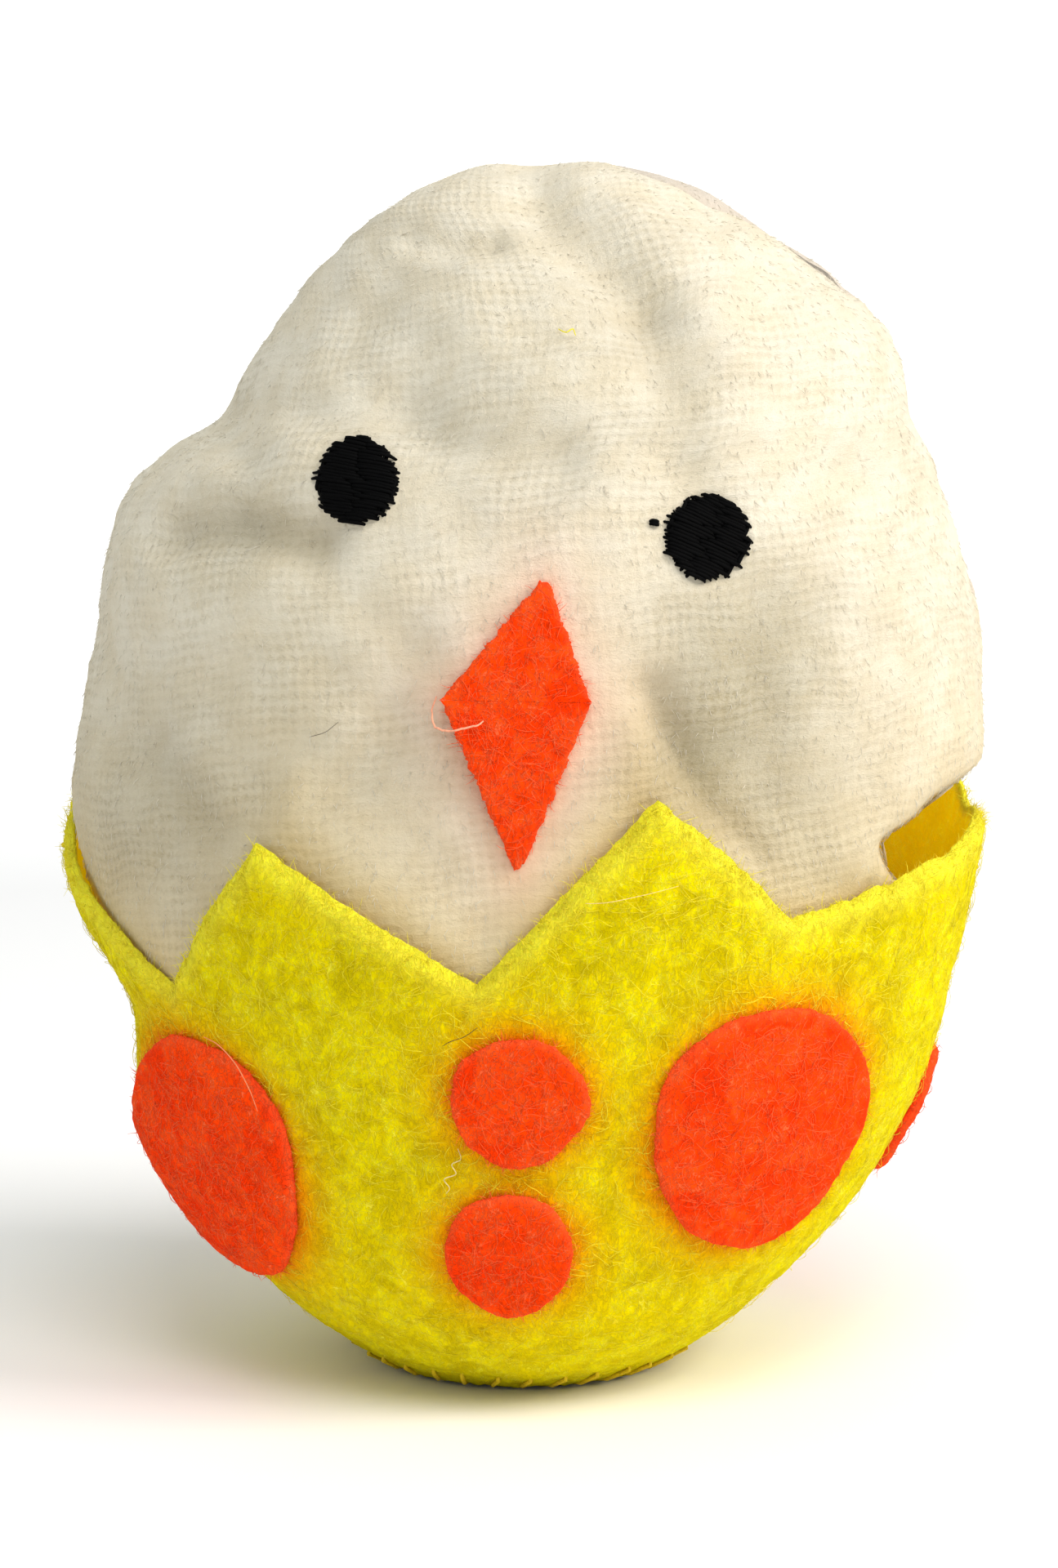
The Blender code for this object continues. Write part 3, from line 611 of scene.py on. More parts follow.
def felt_look(name, light, mid, deep, inside, fibre, rim=0.45, through=0.0, painted_emission=0.0):
    """Pressed wool felt: cloudy colour, with fine pale fibres that wander over each other.

    Noise scales are in bumps per metre.  rim is how much of the fibres' colour a cut edge takes.
    through is how much of the light goes into the thin felt and comes out on its other side; with it, the inner face
    along the rim also gets painted light.
    The last argument is a little painted light that the felt gives off, which brightens it as a fluorescent dye would.
    """
    look = Look(name, roughness=0.95, specular=0.02)
    look.shader.inputs["Subsurface Weight"].default_value = through
    look.shader.inputs["Subsurface Radius"].default_value = (1.0, 0.75, 0.1)
    look.shader.inputs["Subsurface Scale"].default_value = 1.5 * MM
    place = look.place()
    broad = look.noise(place, 95, 4, 0.6, 0.6)
    cloud = look.noise(place, 360, 5, 0.6, 0.8)
    base = look.mix(look.ramp(broad, 0.36, 0.64), deep, mid)
    base = look.mix(look.ramp(cloud, 0.4, 0.66, 0, 0.85), base, light)
    lines = []
    for turn, size in (((20, 50, 10), 1.0), ((70, -25, 60), 1.3), ((-40, 15, 120), 0.8),
                       ((35, 80, -30), 1.7)):
        run = look.stretch(place, (900 * size, 420 * size, 560 * size), turn)
        field = look.noise(run, 1.0, 2.0, 0.45, 1.6)
        off = look.math("ABSOLUTE", look.math("SUBTRACT", field, 0.5))
        lines.append(look.ramp(off, 0.018, 0.0))
    strands = look.math("MAXIMUM", look.math("MAXIMUM", lines[0], lines[1]),
                        look.math("MAXIMUM", lines[2], lines[3]))
    shown = look.ramp(cloud, 0.36, 0.62, 0.12, 0.6)
    grain = look.noise(look.stretch(place, (1900, 700, 1100), (25, 40, 15)), 1.0, 3, 0.6, 0.7)
    base = look.mix(look.ramp(grain, 0.62, 0.4, 0, 0.4), base, deep)
    base = look.mix(look.times(strands, shown), base, fibre)
    base = look.mix(look.times(look.value("edge"), rim), base, fibre)
    # painted orange light reflected from the dots onto the felt round them
    base = look.mix(look.times(look.value("glow"), 0.75), base, (0.97, 0.24, 0.001))
    # painted light: the inner face is coloured a deeper orange, for light that comes through the felt
    base = look.mix(look.times(look.value("inside"), 0.6), base, inside)
    look.colour(base)
    # painted light: the felt gives off a little light of its own
    if painted_emission:
        look.link(base, look.shader.inputs["Emission Color"])
        look.shader.inputs["Emission Strength"].default_value = painted_emission
    if through:
        # painted light: the inner face glows along the rim, in place of daylight that soaks through the wall
        axes = look.node("ShaderNodeSeparateXYZ")
        look.link(place, axes.inputs[0])
        near_rim = look.ramp(axes.outputs[2], 30 * MM, 52 * MM)
        painted_through_glow = look.times(look.value("inside"), near_rim)
        look.link(base, look.shader.inputs["Emission Color"])
        look.link(look.times(painted_through_glow, 0.42), look.shader.inputs["Emission Strength"])
    raised = look.times(strands, 0.4)
    look.bump(look.math("ADD", look.times(cloud, 1.1), raised), FELT_RELIEF)
    return look.material


def thread_look(name, colour, roughness=0.6, sheen=0.2):
    """Plain thread or fibre.  Its ply shows as a fine slant along the strand."""
    look = Look(name, roughness=roughness, sheen=sheen, sheen_tint=colour, specular=0.3)
    ply = look.noise(look.stretch(look.place(), (4000, 900, 2600), (30, 20, 40)), 1.0, 2)
    # the ply's grooves are painted darker, as painted shade
    hollow = tuple(0.78 * channel for channel in colour)
    look.colour(look.mix(look.ramp(ply, 0.3, 0.6), hollow, colour))
    look.bump(ply, 0.05)
    return look.material


# --- eggshell's form ---
# Places on the wall are given by azimuth in radians and by arc, the length up the wall's section.
SHELL_ARC = [0.0]
for below, above in zip(SHELL_ROWS, SHELL_ROWS[1:]):
    SHELL_ARC.append(SHELL_ARC[-1] + math.hypot(above[1] - below[1], above[0] - below[0]))
shell_height, shell_width, shell_depth = (
    curve_through(SHELL_ARC, [row[k] for row in SHELL_ROWS]) for k in (0, 1, 2)
)
ARC_TABLE = np.linspace(0, SHELL_ARC[-1], 4000)
RIM_LINE = tuple(np.array(RIM_CORNERS + tuple((a + 360, h) for a, h in RIM_CORNERS[3:6])).T)


def arc_at_height(height):
    return np.interp(height, shell_height(ARC_TABLE), ARC_TABLE)


def rim_height(points):
    """Height of the eggshell's rim in the direction of each point."""
    azimuth = np.degrees(np.arctan2(points[..., 0], -points[..., 1])) % 360
    return np.interp(azimuth, *RIM_LINE)


def shell_base(azimuth, arc):
    """Points on the wall's nominal outer face."""
    parts = (shell_width(arc) * np.sin(azimuth), -shell_depth(arc) * np.cos(azimuth),
             shell_height(arc))
    return np.stack(np.broadcast_arrays(*parts), -1)


# --- chick body ---
def level_of(height):
    """Where a height lies on the body's levels, 0 at the bottom and 1 at the top."""
    share = (np.asarray(height, float) - CHICK_BOTTOM) / (CHICK_TOP - CHICK_BOTTOM)
    return np.arccos(1 - 2 * np.clip(share, 0, 1)) / math.pi


CHICK_KNOTS = level_of([row[0] for row in CHICK_ROWS])
chick_left, chick_right, chick_depth = (
    curve_through(CHICK_KNOTS, [row[k] for row in CHICK_ROWS]) for k in (1, 2, 3)
)


def side_dent(place):
    """How far the left side of the felt wall, and the chick inside it, are pressed in."""
    x, y, z = place[..., 0], place[..., 1], place[..., 2]
    return (2.9 * smoothstep(0, 12, -x) * np.exp(-(y / 17) ** 2)
            * np.exp(-((z - 32.5) / 6.5) ** 2))


def chick_surface(level, turn):
    """Unwrinkled surface of the chick.  Turn 0 is +X and a quarter turn back from it the front."""
    centre = (chick_left(level) + chick_right(level)) / 2
    width = (chick_right(level) - chick_left(level)) / 2
    power = 2 / CHICK_SQUARENESS
    cos, sin = np.cos(turn), np.sin(turn)
    x = centre + width * np.sign(cos) * np.abs(cos) ** power
    y = chick_depth(level) * np.sign(sin) * np.abs(sin) ** power
    z = (CHICK_BOTTOM + CHICK_TOP) / 2 - (CHICK_TOP - CHICK_BOTTOM) / 2 * np.cos(math.pi * level)
    return np.stack(np.broadcast_arrays(x, y, z), -1)


def chick_front(x, z, lift=0.0):
    """Points of the unwrinkled front at (x, height), raised along its normal."""
    def on(x, z):
        level = level_of(z)
        centre = (chick_left(level) + chick_right(level)) / 2
        width = (chick_right(level) - chick_left(level)) / 2
        reach = np.minimum(np.abs(x - centre) / width, 0.999)
        y = -chick_depth(level) * (1 - reach ** CHICK_SQUARENESS) ** (1 / CHICK_SQUARENESS)
        return np.stack([x, y, z], -1)

    x, z = np.broadcast_arrays(np.asarray(x, float), np.asarray(z, float))
    step = 0.3
    normal = unit(np.cross(on(x + step, z) - on(x - step, z), on(x, z + step) - on(x, z - step)))
    return on(x, z) + normal * np.asarray(lift)[..., None]


def grid_normals(points):
    """Outward normals of a grid of (levels, turns) that closes round."""
    round_way = np.roll(points, -1, 1) - np.roll(points, 1, 1)
    up_way = np.gradient(points, axis=0)
    normals = unit(np.cross(round_way, up_way))
    normals[0], normals[-1] = (0, 0, -1), (0, 0, 1)
    return normals


def seam_place(points):
    """Signed distance behind the side seam, which strays a little, and most over the crown."""
    x, y, z = points[..., 0], points[..., 1], points[..., 2]
    stray = 0.5 * np.sin(z / 9.0 + np.sign(x))
    stray -= 6.5 * np.exp(-((x - 15) / 8) ** 2) * smoothstep(93, 103, z)
    return y - stray


def fabric_coordinates(points):
    """Threads' coordinates in mm on the two flat-cut panels, from their middle lines."""
    turns = points.shape[1]
    steps = np.linalg.norm(np.roll(points, -1, 1) - points, axis=-1)
    run = np.concatenate([np.zeros((len(points), 1)), np.cumsum(steps, 1)[:, :-1]], 1)
    front, back = 3 * turns // 4, turns // 4
    quarter = np.arange(turns)
    behind = (quarter > 0) & (quarter < turns // 2)
    u = np.where(behind, run - run[:, back:back + 1] + 400, run - run[:, front:front + 1])
    total = steps.sum(1, keepdims=True)
    u = np.where((quarter == 0), u + total, u)
    rise = np.linalg.norm(np.diff(points[:, front], axis=0), axis=-1)
    v = np.concatenate([[0], np.cumsum(rise)])[:, None] * np.ones((1, turns))
    return u, v


def beak_distance(points):
    """Distance in the front view from the beak's outline; points behind count as far."""
    outline = (BEAK_TOP, BEAK_RIGHT, BEAK_BOTTOM, BEAK_LEFT, BEAK_TOP)
    away = distance_to_line(points[..., 0], points[..., 2], outline)
    return np.where(points[..., 1] < 0, away, 99.0)


def pinch(points):
    """Pushes in what reaches past the pinched right side's limit, with a soft shoulder."""
    heights, limits = zip(*PINCH_ROWS)
    forward = np.minimum(points[..., 1], 0)
    height = points[..., 2] + 0.127 * forward
    over = points[..., 0] - curve_through(heights, limits)(height) * (1 + 0.0031 * forward)
    soft = 0.5 * (over + np.sqrt(over ** 2 + 0.5))
    inside = smoothstep(38, 41, height) * (1 - smoothstep(54, 56.5, height))
    points[..., 0] -= soft * inside * (points[..., 0] > 0)


def press_on_wall(points):
    """Swells the loose cloth towards the eggshell's inner face, most along the rim."""
    x, y, z = points[..., 0], points[..., 1], points[..., 2]
    arc = arc_at_height(z)
    reach = np.hypot(x / (shell_width(arc) - PRESSED_ROOM), y / (shell_depth(arc) - PRESSED_ROOM))
    room = 1 / np.maximum(reach, 0.1) - 1
    rim = rim_height(points)
    share = 0.92 * smoothstep(24, 37, z) * (1 - smoothstep(rim + 0.5, rim + 9, z))
    swell = 1 + share * np.clip(room, 0, 0.12)
    points[..., 0] *= swell
    points[..., 1] *= swell
    points[..., 0] += side_dent(points)


def between(coarse, step):
    """Smooth values on a grid step times finer than coarse, which closes round its second axis."""
    t = (np.arange(step) / step)[:, None, None, None]
    near = (-0.5 * t ** 3 + t ** 2 - 0.5 * t, 1.5 * t ** 3 - 2.5 * t ** 2 + 1,
            -1.5 * t ** 3 + 2 * t ** 2 + 0.5 * t, 0.5 * t ** 3 - 0.5 * t ** 2)
    turned = sum(w * np.roll(coarse, 1 - k, 1)[None] for k, w in enumerate(near))
    turned = turned.transpose(1, 2, 0, 3).reshape(len(coarse), -1, coarse.shape[-1])
    padded = np.concatenate([turned[:1], turned, turned[-1:], turned[-1:]])
    rows = sum(w * padded[k:k + len(turned)][None] for k, w in enumerate(near))
    rows = rows.transpose(1, 0, 2, 3).reshape(-1, turned.shape[1], coarse.shape[-1])
    return rows[:(len(coarse) - 1) * step + 1]


def simulate_skin(points):
    """How far the stuffed skin moves when it is blown up as cloth that is cut a little too large.

    The seam is held, so the spare cloth buckles between the two sides of it.  The trial is made
    TRIAL_SCALE times life size, where the solver behaves better, on every SKIN_STEPth grid point.
    """
    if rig.quick():
        return np.zeros(points.shape)
    start = points[::SKIN_STEP, ::SKIN_STEP]
    rows, columns = start.shape[:2]
    quads = ring_quads(np.arange(rows * columns).reshape(rows, columns))
    mesh = bpy.data.meshes.new("skin_trial")
    mesh.from_pydata((start.reshape(-1, 3) * MM * TRIAL_SCALE).tolist(), [], quads)
    skin = bpy.data.objects.new("skin_trial", mesh)
    bpy.context.collection.objects.link(skin)
    held = skin.vertex_groups.new(name="seam")
    grip = np.exp(-(seam_place(start) / 2.0) ** 2)
    grip[0], grip[-1] = 1, 1
    for k, weight in enumerate(grip.ravel()):
        held.add([k], float(weight), "REPLACE")
    cloth = skin.modifiers.new("skin_cloth", "CLOTH")
    cloth.settings.quality = 6
    cloth.settings.mass = 0.4
    cloth.settings.tension_stiffness = cloth.settings.compression_stiffness = 20
    cloth.settings.shear_stiffness = 8
    cloth.settings.bending_stiffness = 3.0
    cloth.settings.use_pressure = True
    cloth.settings.uniform_pressure_force = 4
    cloth.settings.shrink_min = -0.07
    cloth.settings.vertex_group_mass = "seam"
    cloth.settings.effector_weights.gravity = 0
    cloth.collision_settings.use_collision = False
    for frame_number in range(1, SKIN_FRAMES + 1):
        bpy.context.scene.frame_set(frame_number)
    settled = skin.evaluated_get(bpy.context.evaluated_depsgraph_get()).to_mesh()
    moved = np.empty(len(mesh.vertices) * 3, np.float32)
    settled.vertices.foreach_get("co", moved)
    moved = moved.reshape(rows, columns, 3) / (MM * TRIAL_SCALE) - start
    bpy.data.objects.remove(skin)
    bpy.context.scene.frame_set(1)
    far = np.linalg.norm(moved, axis=-1, keepdims=True)
    moved *= np.minimum(1, SKIN_CAP / np.maximum(far, 1e-6))
    return between(moved, SKIN_STEP)


def make_body():
    """The stuffed chick.  Returns its grid of points and normals, and a tree to cast rays at."""
    levels = np.linspace(0, 1, BODY_LEVELS + 1)[:, None]
    turns = (2 * math.pi * np.arange(BODY_TURNS) / BODY_TURNS)[None, :]
    plain = chick_surface(levels, turns)
    normals = grid_normals(plain)
    x, z = plain[..., 0], plain[..., 2]
    sunk = np.zeros(plain.shape[:2])
    for folds, facing in ((FRONT_FOLDS, -1), (BACK_FOLDS, 1)):
        shown = smoothstep(-0.1, 0.35, normals[..., 1] * facing)
        for line, reach, depth in folds:
            sunk += shown * depth * np.exp(-(distance_to_line(x, z, line) / reach) ** 2)
    # the side seam is a fine groove in a shallow valley, with puckers across it
    away = np.abs(seam_place(plain))
    along = np.where(x > 0, z, -z - 40)
    pucker = np.cos(along * 2 * math.pi / PUCKER_PITCH + 2.5 * ripples(plain, 14, 3))
    seam = 0.75 * np.exp(-(away / 0.7) ** 2) + 0.25 * np.exp(-(away / 2.5) ** 2) - 0.35
    sunk += seam * smoothstep(3, 10, z) * smoothstep(0, 1.5, CHICK_TOP - z + 1.2)
    sunk += pucker * 0.22 * np.exp(-away / 3.0)
    loose = 0.42 * ripples(plain, 17, 5) + 0.16 * ripples(plain, 6.5, 8)
    points = plain + normals * (loose - sunk)[..., None]
    points += simulate_skin(points)
    press_on_wall(points)
    pinch(points)
    points[0], points[-1] = points[0].mean(0), points[-1].mean(0)
    flat = np.concatenate([points[:1, 0], points[1:-1].reshape(-1, 3), points[-1:, 0]])
    index = 1 + np.arange((BODY_LEVELS - 1) * BODY_TURNS).reshape(BODY_LEVELS - 1, BODY_TURNS)
    faces = closed_faces(index, 0, len(flat) - 1)
    body = mesh_object("chick_plush_body", flat, faces, velour_look())

    def per_vertex(values):
        return np.concatenate([values[0, :1], values[1:-1].ravel(), values[-1, :1]])

    u, v = fabric_coordinates(points)
    # painted shade: darker patches on the front, and the shadow under the beak
    grey = sum(strength * np.exp(-((x - patch_x) ** 2 + (z - patch_z) ** 2) / reach ** 2)
               for patch_x, patch_z, reach, strength in PAINTED_SHADE_PATCHES)
    # painted shadow under the beak's lifted left edge
    grey = grey + 0.5 * np.exp(-(distance_to_line(x, z, SHADE_UNDER_BEAK) / 1.3) ** 2)
    for name, values in (
        ("fabric_u", u),
        ("fabric_v", v),
        # painted shade: the back panel is coloured darker pinkish-grey
        ("back", smoothstep(-0.3, 0.4, seam_place(plain))),
        # painted orange light reflected from the beak onto the cream round it
        ("blush", np.exp(-beak_distance(plain) / 2.4)),
        # painted shade in the folds and the seam's groove, darker the deeper they sink
        ("hollow", np.clip(sunk / 2.2, 0, 1)),
        # painted shade, on the front only
        ("grey", np.clip(grey, 0, 0.85) * (plain[..., 1] < 0)),
        # painted yellow bounce light from the eggshell, strongest at its rim's height
        ("bounce", np.exp(-np.abs(z - rim_height(plain)) / 8.0)),
    ):
        give_values(body, name, per_vertex(values))
    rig.ride(body, "chick")
    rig.replaces(body, "chick_front_panel", "chick_back_panel", "chick_stuffing")
    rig.slot(body, "cream_velour")
    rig.padded(body, fill=0.6)
    return points, grid_normals(points), BVHTree.FromPolygons(flat.tolist(), faces)


def make_pile(points, normals):
    """Short pile that stands off the velour and leans downwards, thinner inside the eggshell."""
    picker = np.random.default_rng(21)
    count = PILE_HAIRS
    area = np.linalg.norm(np.roll(points, -1, 1) - points, axis=-1)[:-1]
    area = area * np.linalg.norm(np.diff(points, axis=0), axis=-1)
    area[points[:-1, :, 2] < 34] *= 0.25
    cell = picker.choice(area.size, count, p=(area / area.sum()).ravel())
    i, j = np.unravel_index(cell, area.shape)
    k = (j + 1) % points.shape[1]
    s, t = picker.random((2, count, 1))
    root = ((points[i, j] * (1 - t) + points[i, k] * t) * (1 - s)
            + (points[i + 1, j] * (1 - t) + points[i + 1, k] * t) * s)
    normal = normals[i, j]
    brushed = np.array((0.15, 0, -1.0)) + picker.normal(0, 0.45, (count, 3))
    brushed = unit(brushed - normal * (brushed * normal).sum(1, keepdims=True))
    out = unit(brushed + normal * picker.uniform(0.25, 0.75, (count, 1)))
    bend = unit(out + brushed * 0.5 - normal * 0.25)
    length = picker.uniform(0.35, 0.75, (count, 1))
    routes = np.stack([root - out * 0.1, root + out * length * 0.5,
                       root + (out + bend) * length * 0.5], 1)
    radii = np.tile([0.028, 0.025, 0.01], (count, 1))
    pile = tubes("chick_velour_pile", routes, radii,
                 thread_look("pile_look", (0.76, 0.71, 0.59), 0.95, 0.0))
    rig.ride(pile, "chick")
    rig.slot(pile, "cream_velour")


def on_body(tree, x, z):
    """Point and outward normal of the wrinkled front at (x, height)."""
    hit, normal, _, _ = tree.ray_cast(Vector((x, -80, z)), Vector((0, 1, 0)))
    hit, normal = np.array(hit), np.array(normal)
    return hit, normal if normal[1] < 0 else -normal


# --- stitches ---
def satin_stitch(tree, start, end, lift):
    """A stitch from start to end over the cloth: its ends dive into the pile."""
    route, normals = [], []
    for k in range(len(STITCH_SHAPE)):
        t = k / (len(STITCH_SHAPE) - 1)
        x, z = start[0] + (end[0] - start[0]) * t, start[1] + (end[1] - start[1]) * t
        hit, normal = on_body(tree, x, z)
        rise = lift * (1 - abs(2 * t - 1) ** 4) - 0.25 * (abs(2 * t - 1) > 0.99)
        route.append(hit + normal * rise)
        normals.append(normal)
    return route, np.mean(normals, 0)


def make_eye(name, tree, seed, slant, jump=None):
    """A round of machine satin stitches over a steeper underlay, ragged at both ends."""
    picker = np.random.default_rng(seed)
    cx, cz = EYES[name]
    routes, ups, radii = [], [], []
    for turn, pitch, lift, wide, shrink in EYE_LAYERS:
        a = math.radians(slant + turn)
        ahead, across = np.array((math.cos(a), math.sin(a))), np.array((-math.sin(a), math.cos(a)))
        radius = EYE_RADIUS * shrink
        offset = -radius + pitch / 2
        row = 0
        while offset < radius:
            half = math.sqrt(max(radius ** 2 - offset ** 2, 0.3))
            left = -half - picker.uniform(-0.3, 0.35) - 0.3 * (row % 2)
            right = half + picker.uniform(-0.3, 0.35) + 0.3 * ((row + 1) % 2)
            split = picker.uniform(-0.3, 0.3) * half
            for begin, finish in ((left, split + 0.5), (split - 0.5, right)):
                start = (cx, cz) + ahead * begin + across * offset
                end = (cx, cz) + ahead * finish + across * (offset + picker.uniform(-0.05, 0.05))
                rise = lift + picker.uniform(-0.04, 0.04)
                route, normal = satin_stitch(tree, start, end, rise)
                routes.append(route)
                ups.append(normal)
                radii.append(wide * STITCH_SHAPE)
            offset += pitch * picker.uniform(0.85, 1.15)
            row += 1
    if jump is not None:
        for shift in (-0.12, 0.1):
            route, normal = satin_stitch(tree, (jump[0] - 0.45, jump[1] + shift + 0.1),
                                         (jump[0] + 0.4, jump[1] + shift - 0.05), 0.3)
            routes.append(route)
            ups.append(normal)
            radii.append(0.19 * JUMP_SHAPE)
    look = thread_look("black_embroidery_look", (0.0012, 0.0012, 0.0013), 0.7, 0.0)
    look.node_tree.nodes["Principled BSDF"].inputs["Specular IOR Level"].default_value = 0.05
    eye = tubes(name + "_stitches", routes, radii, look, sides=6, flat=0.7, up=np.array(ups))
    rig.ride(eye, "chick")
    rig.replaces(eye, name)
    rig.slot(eye, "black_embroidery")


def make_seam_stitches(points):
    """Small stitches down in the chick's side seam; the closing ones are longer and hand made."""
    look = thread_look("pale_thread_look", (0.74, 0.69, 0.56), 0.75)
    seam = np.abs(seam_place(points))
    picker = np.random.default_rng(4)
    runs = {"chick_seam_stitches": [], "chick_closing_stitches": []}
    for turn_range in (range(-34, 15), range(BODY_TURNS // 2 - 14, BODY_TURNS // 2 + 15)):
        columns = np.array(turn_range) % BODY_TURNS
        level, last = 8, None
        while level < BODY_LEVELS - 8:
            spot = columns[np.argmin(seam[level, columns])]
            place = points[level, spot]
            closing = turn_range.start < 0 and 14 < place[2] < 34
            if last is not None:
                gap = 0.25 * (place - last)
                routes = runs["chick_closing_stitches" if closing else "chick_seam_stitches"]
                lean = np.array((0, 0.5 if closing else 0.12, 0)) * picker.choice((-1, 1))
                middle = (last + place) / 2
                routes.append([last + gap * 0.4 - lean, middle, place - gap * 0.4 + lean])
            last = place
            level += 6 if closing else 4
    for name, routes in runs.items():
        radii = np.tile([0.1, 0.17, 0.1], (len(routes), 1))
        stitches = tubes(name, routes, radii, look, sides=6)
        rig.ride(stitches, "chick")
        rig.replaces(stitches, name.replace("stitches", "thread"))
        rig.slot(stitches, "pale_thread")


# --- eggshell wall ---
def shell_normal(azimuth, arc):
    """Outward normals of the nominal wall."""
    low, high = np.maximum(arc - 0.2, 0), np.minimum(arc + 0.2, SHELL_ARC[-1])
    up_way = shell_base(azimuth, high) - shell_base(azimuth, low)
    round_way = shell_base(azimuth + 0.01, arc) - shell_base(azimuth - 0.01, arc)
    return unit(np.cross(round_way, up_way))


def shell_swell(place):
    """The felt's own unevenness, shared by the wall and what is glued on it."""
    return 0.35 * ripples(place, 24, 31) + 0.10 * ripples(place, 7, 32) - side_dent(place)


def shell_point(azimuth, arc, lift=0.0):
    """Points on the wall's outer face, or raised from it along its normal."""
    azimuth, arc = np.broadcast_arrays(np.asarray(azimuth, float), np.asarray(arc, float))
    place = shell_base(azimuth, arc)
    calm = smoothstep(0, 10, arc)
    return place + shell_normal(azimuth, arc) * (lift + calm * shell_swell(place))[..., None]


def rim_arc(azimuth_deg):
    """Arc length up to the hand-cut zigzag rim."""
    angles, heights = zip(*RIM_CORNERS)
    top = arc_at_height(np.interp(azimuth_deg, angles, heights))
    wobble = np.stack([np.asarray(azimuth_deg, float) * 0.7, np.zeros(np.shape(azimuth_deg))], -1)
    return top + 0.22 * ripples(wobble, 5.0, 41) + 0.07 * ripples(wobble, 1.1, 42)


def make_wall_panel(node, look):
    """Half of the eggshell's wall: up the outer face, over the cut rim and down the inner face."""
    start, end = PANEL_AZIMUTHS[node]
    columns = np.unique(np.concatenate([
        np.linspace(start, end, WALL_COLUMNS), [a for a, _ in RIM_CORNERS if start < a < end]
    ]))
    azimuth = np.radians(columns)
    top = rim_arc(columns)
    # the cut is square to the rim's line, so on a steep stretch it reaches further down the wall
    run = np.gradient(top, azimuth * MEAN_RADIUS)
    reach = np.convolve(np.sqrt(1 + run ** 2), np.ones(5) / 5, "same")
    reach[:3], reach[-3:] = reach[3], reach[-4]
    # each row of points: share of the way up, distance down from the rim, lift, edge, inside
    outer_stop, inner_stop = RIM_SECTION[0][0], RIM_SECTION[-1][0]
    rows = [(share, outer_stop, 0.0, smoothstep(0.965, 1.0, share) * 0.6, 0)
            for share in np.linspace(0, 1, WALL_COURSES)]
    rows += [(1, down, lift, 1, 0) for down, lift in RIM_SECTION[1:]]
    rows += [(share, inner_stop, -SHELL_FELT, 0, 1)
             for share in np.linspace(1, 0, WALL_COURSES)[1:]]
    grid = np.stack([shell_point(azimuth, (top - down * reach) * share, lift)
                     for share, down, lift, _, _ in rows])
    nap = 0.07 * ripples(grid, 1.5, 51) + 0.04 * ripples(grid, 0.7, 52)
    grid = grid + grid_normals_open(grid) * nap[..., None]
    # the panels meet at the side seams with a hair's gap
    facing = 1 if node == "shell_back_panel" else -1
    grid[..., 1] = facing * np.maximum(facing * grid[..., 1], 0.12)
    count, width = grid.shape[:2]
    index = np.arange(count * width).reshape(count, width)
    low, high = index, np.roll(index, -1, 0)
    quads = np.stack([low[:, :-1], low[:, 1:], high[:, 1:], high[:, :-1]], -1).reshape(-1, 4)
    faces = quads.tolist() + [index[::-1, 0].tolist(), index[:, -1].tolist()]
    panel = mesh_object(node + "_felt", grid.reshape(-1, 3), faces, look)
    sharpen(panel)
    edge, inside = (np.array([row[k] for row in rows], float) for k in (3, 4))
    # painted orange light reflected from the dots onto the wall round them
    glow = np.zeros(grid.shape[:2])
    for azimuth_deg, height, half_width, half_height in DOTS.values():
        centre = shell_base(math.radians(azimuth_deg), arc_at_height(height))
        away = np.linalg.norm(grid - centre, axis=-1) - (half_width + half_height) / 2
        glow = np.maximum(glow, np.exp(-np.maximum(away, 0) / 1.9))
    give_values(panel, "edge", np.repeat(edge, width))
    give_values(panel, "inside", np.repeat(inside, width))
    give_values(panel, "glow", glow * (1 - inside)[:, None])
    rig.ride(panel, "eggshell")
    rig.slot(panel, "yellow_felt")
    cell = np.linalg.norm(np.diff(grid[:WALL_COURSES, :-1], axis=0), axis=-1)
    cell = cell * np.linalg.norm(np.diff(grid[:WALL_COURSES - 1], axis=1), axis=-1)
    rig.sheet(panel, flat=(PANEL_FLAT[0] * MM, PANEL_FLAT[1] * MM), held="stretched",
             area=float(cell.sum()) * MM * MM, rests_on=["shell_base_disc_felt"])
    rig.replaces(panel, node)


def grid_normals_open(points):
    """Outward normals of a grid whose first axis closes round a section of the wall."""
    up_way = np.roll(points, -1, 0) - np.roll(points, 1, 0)
    round_way = np.gradient(points, axis=1)
    return unit(np.cross(round_way, up_way))


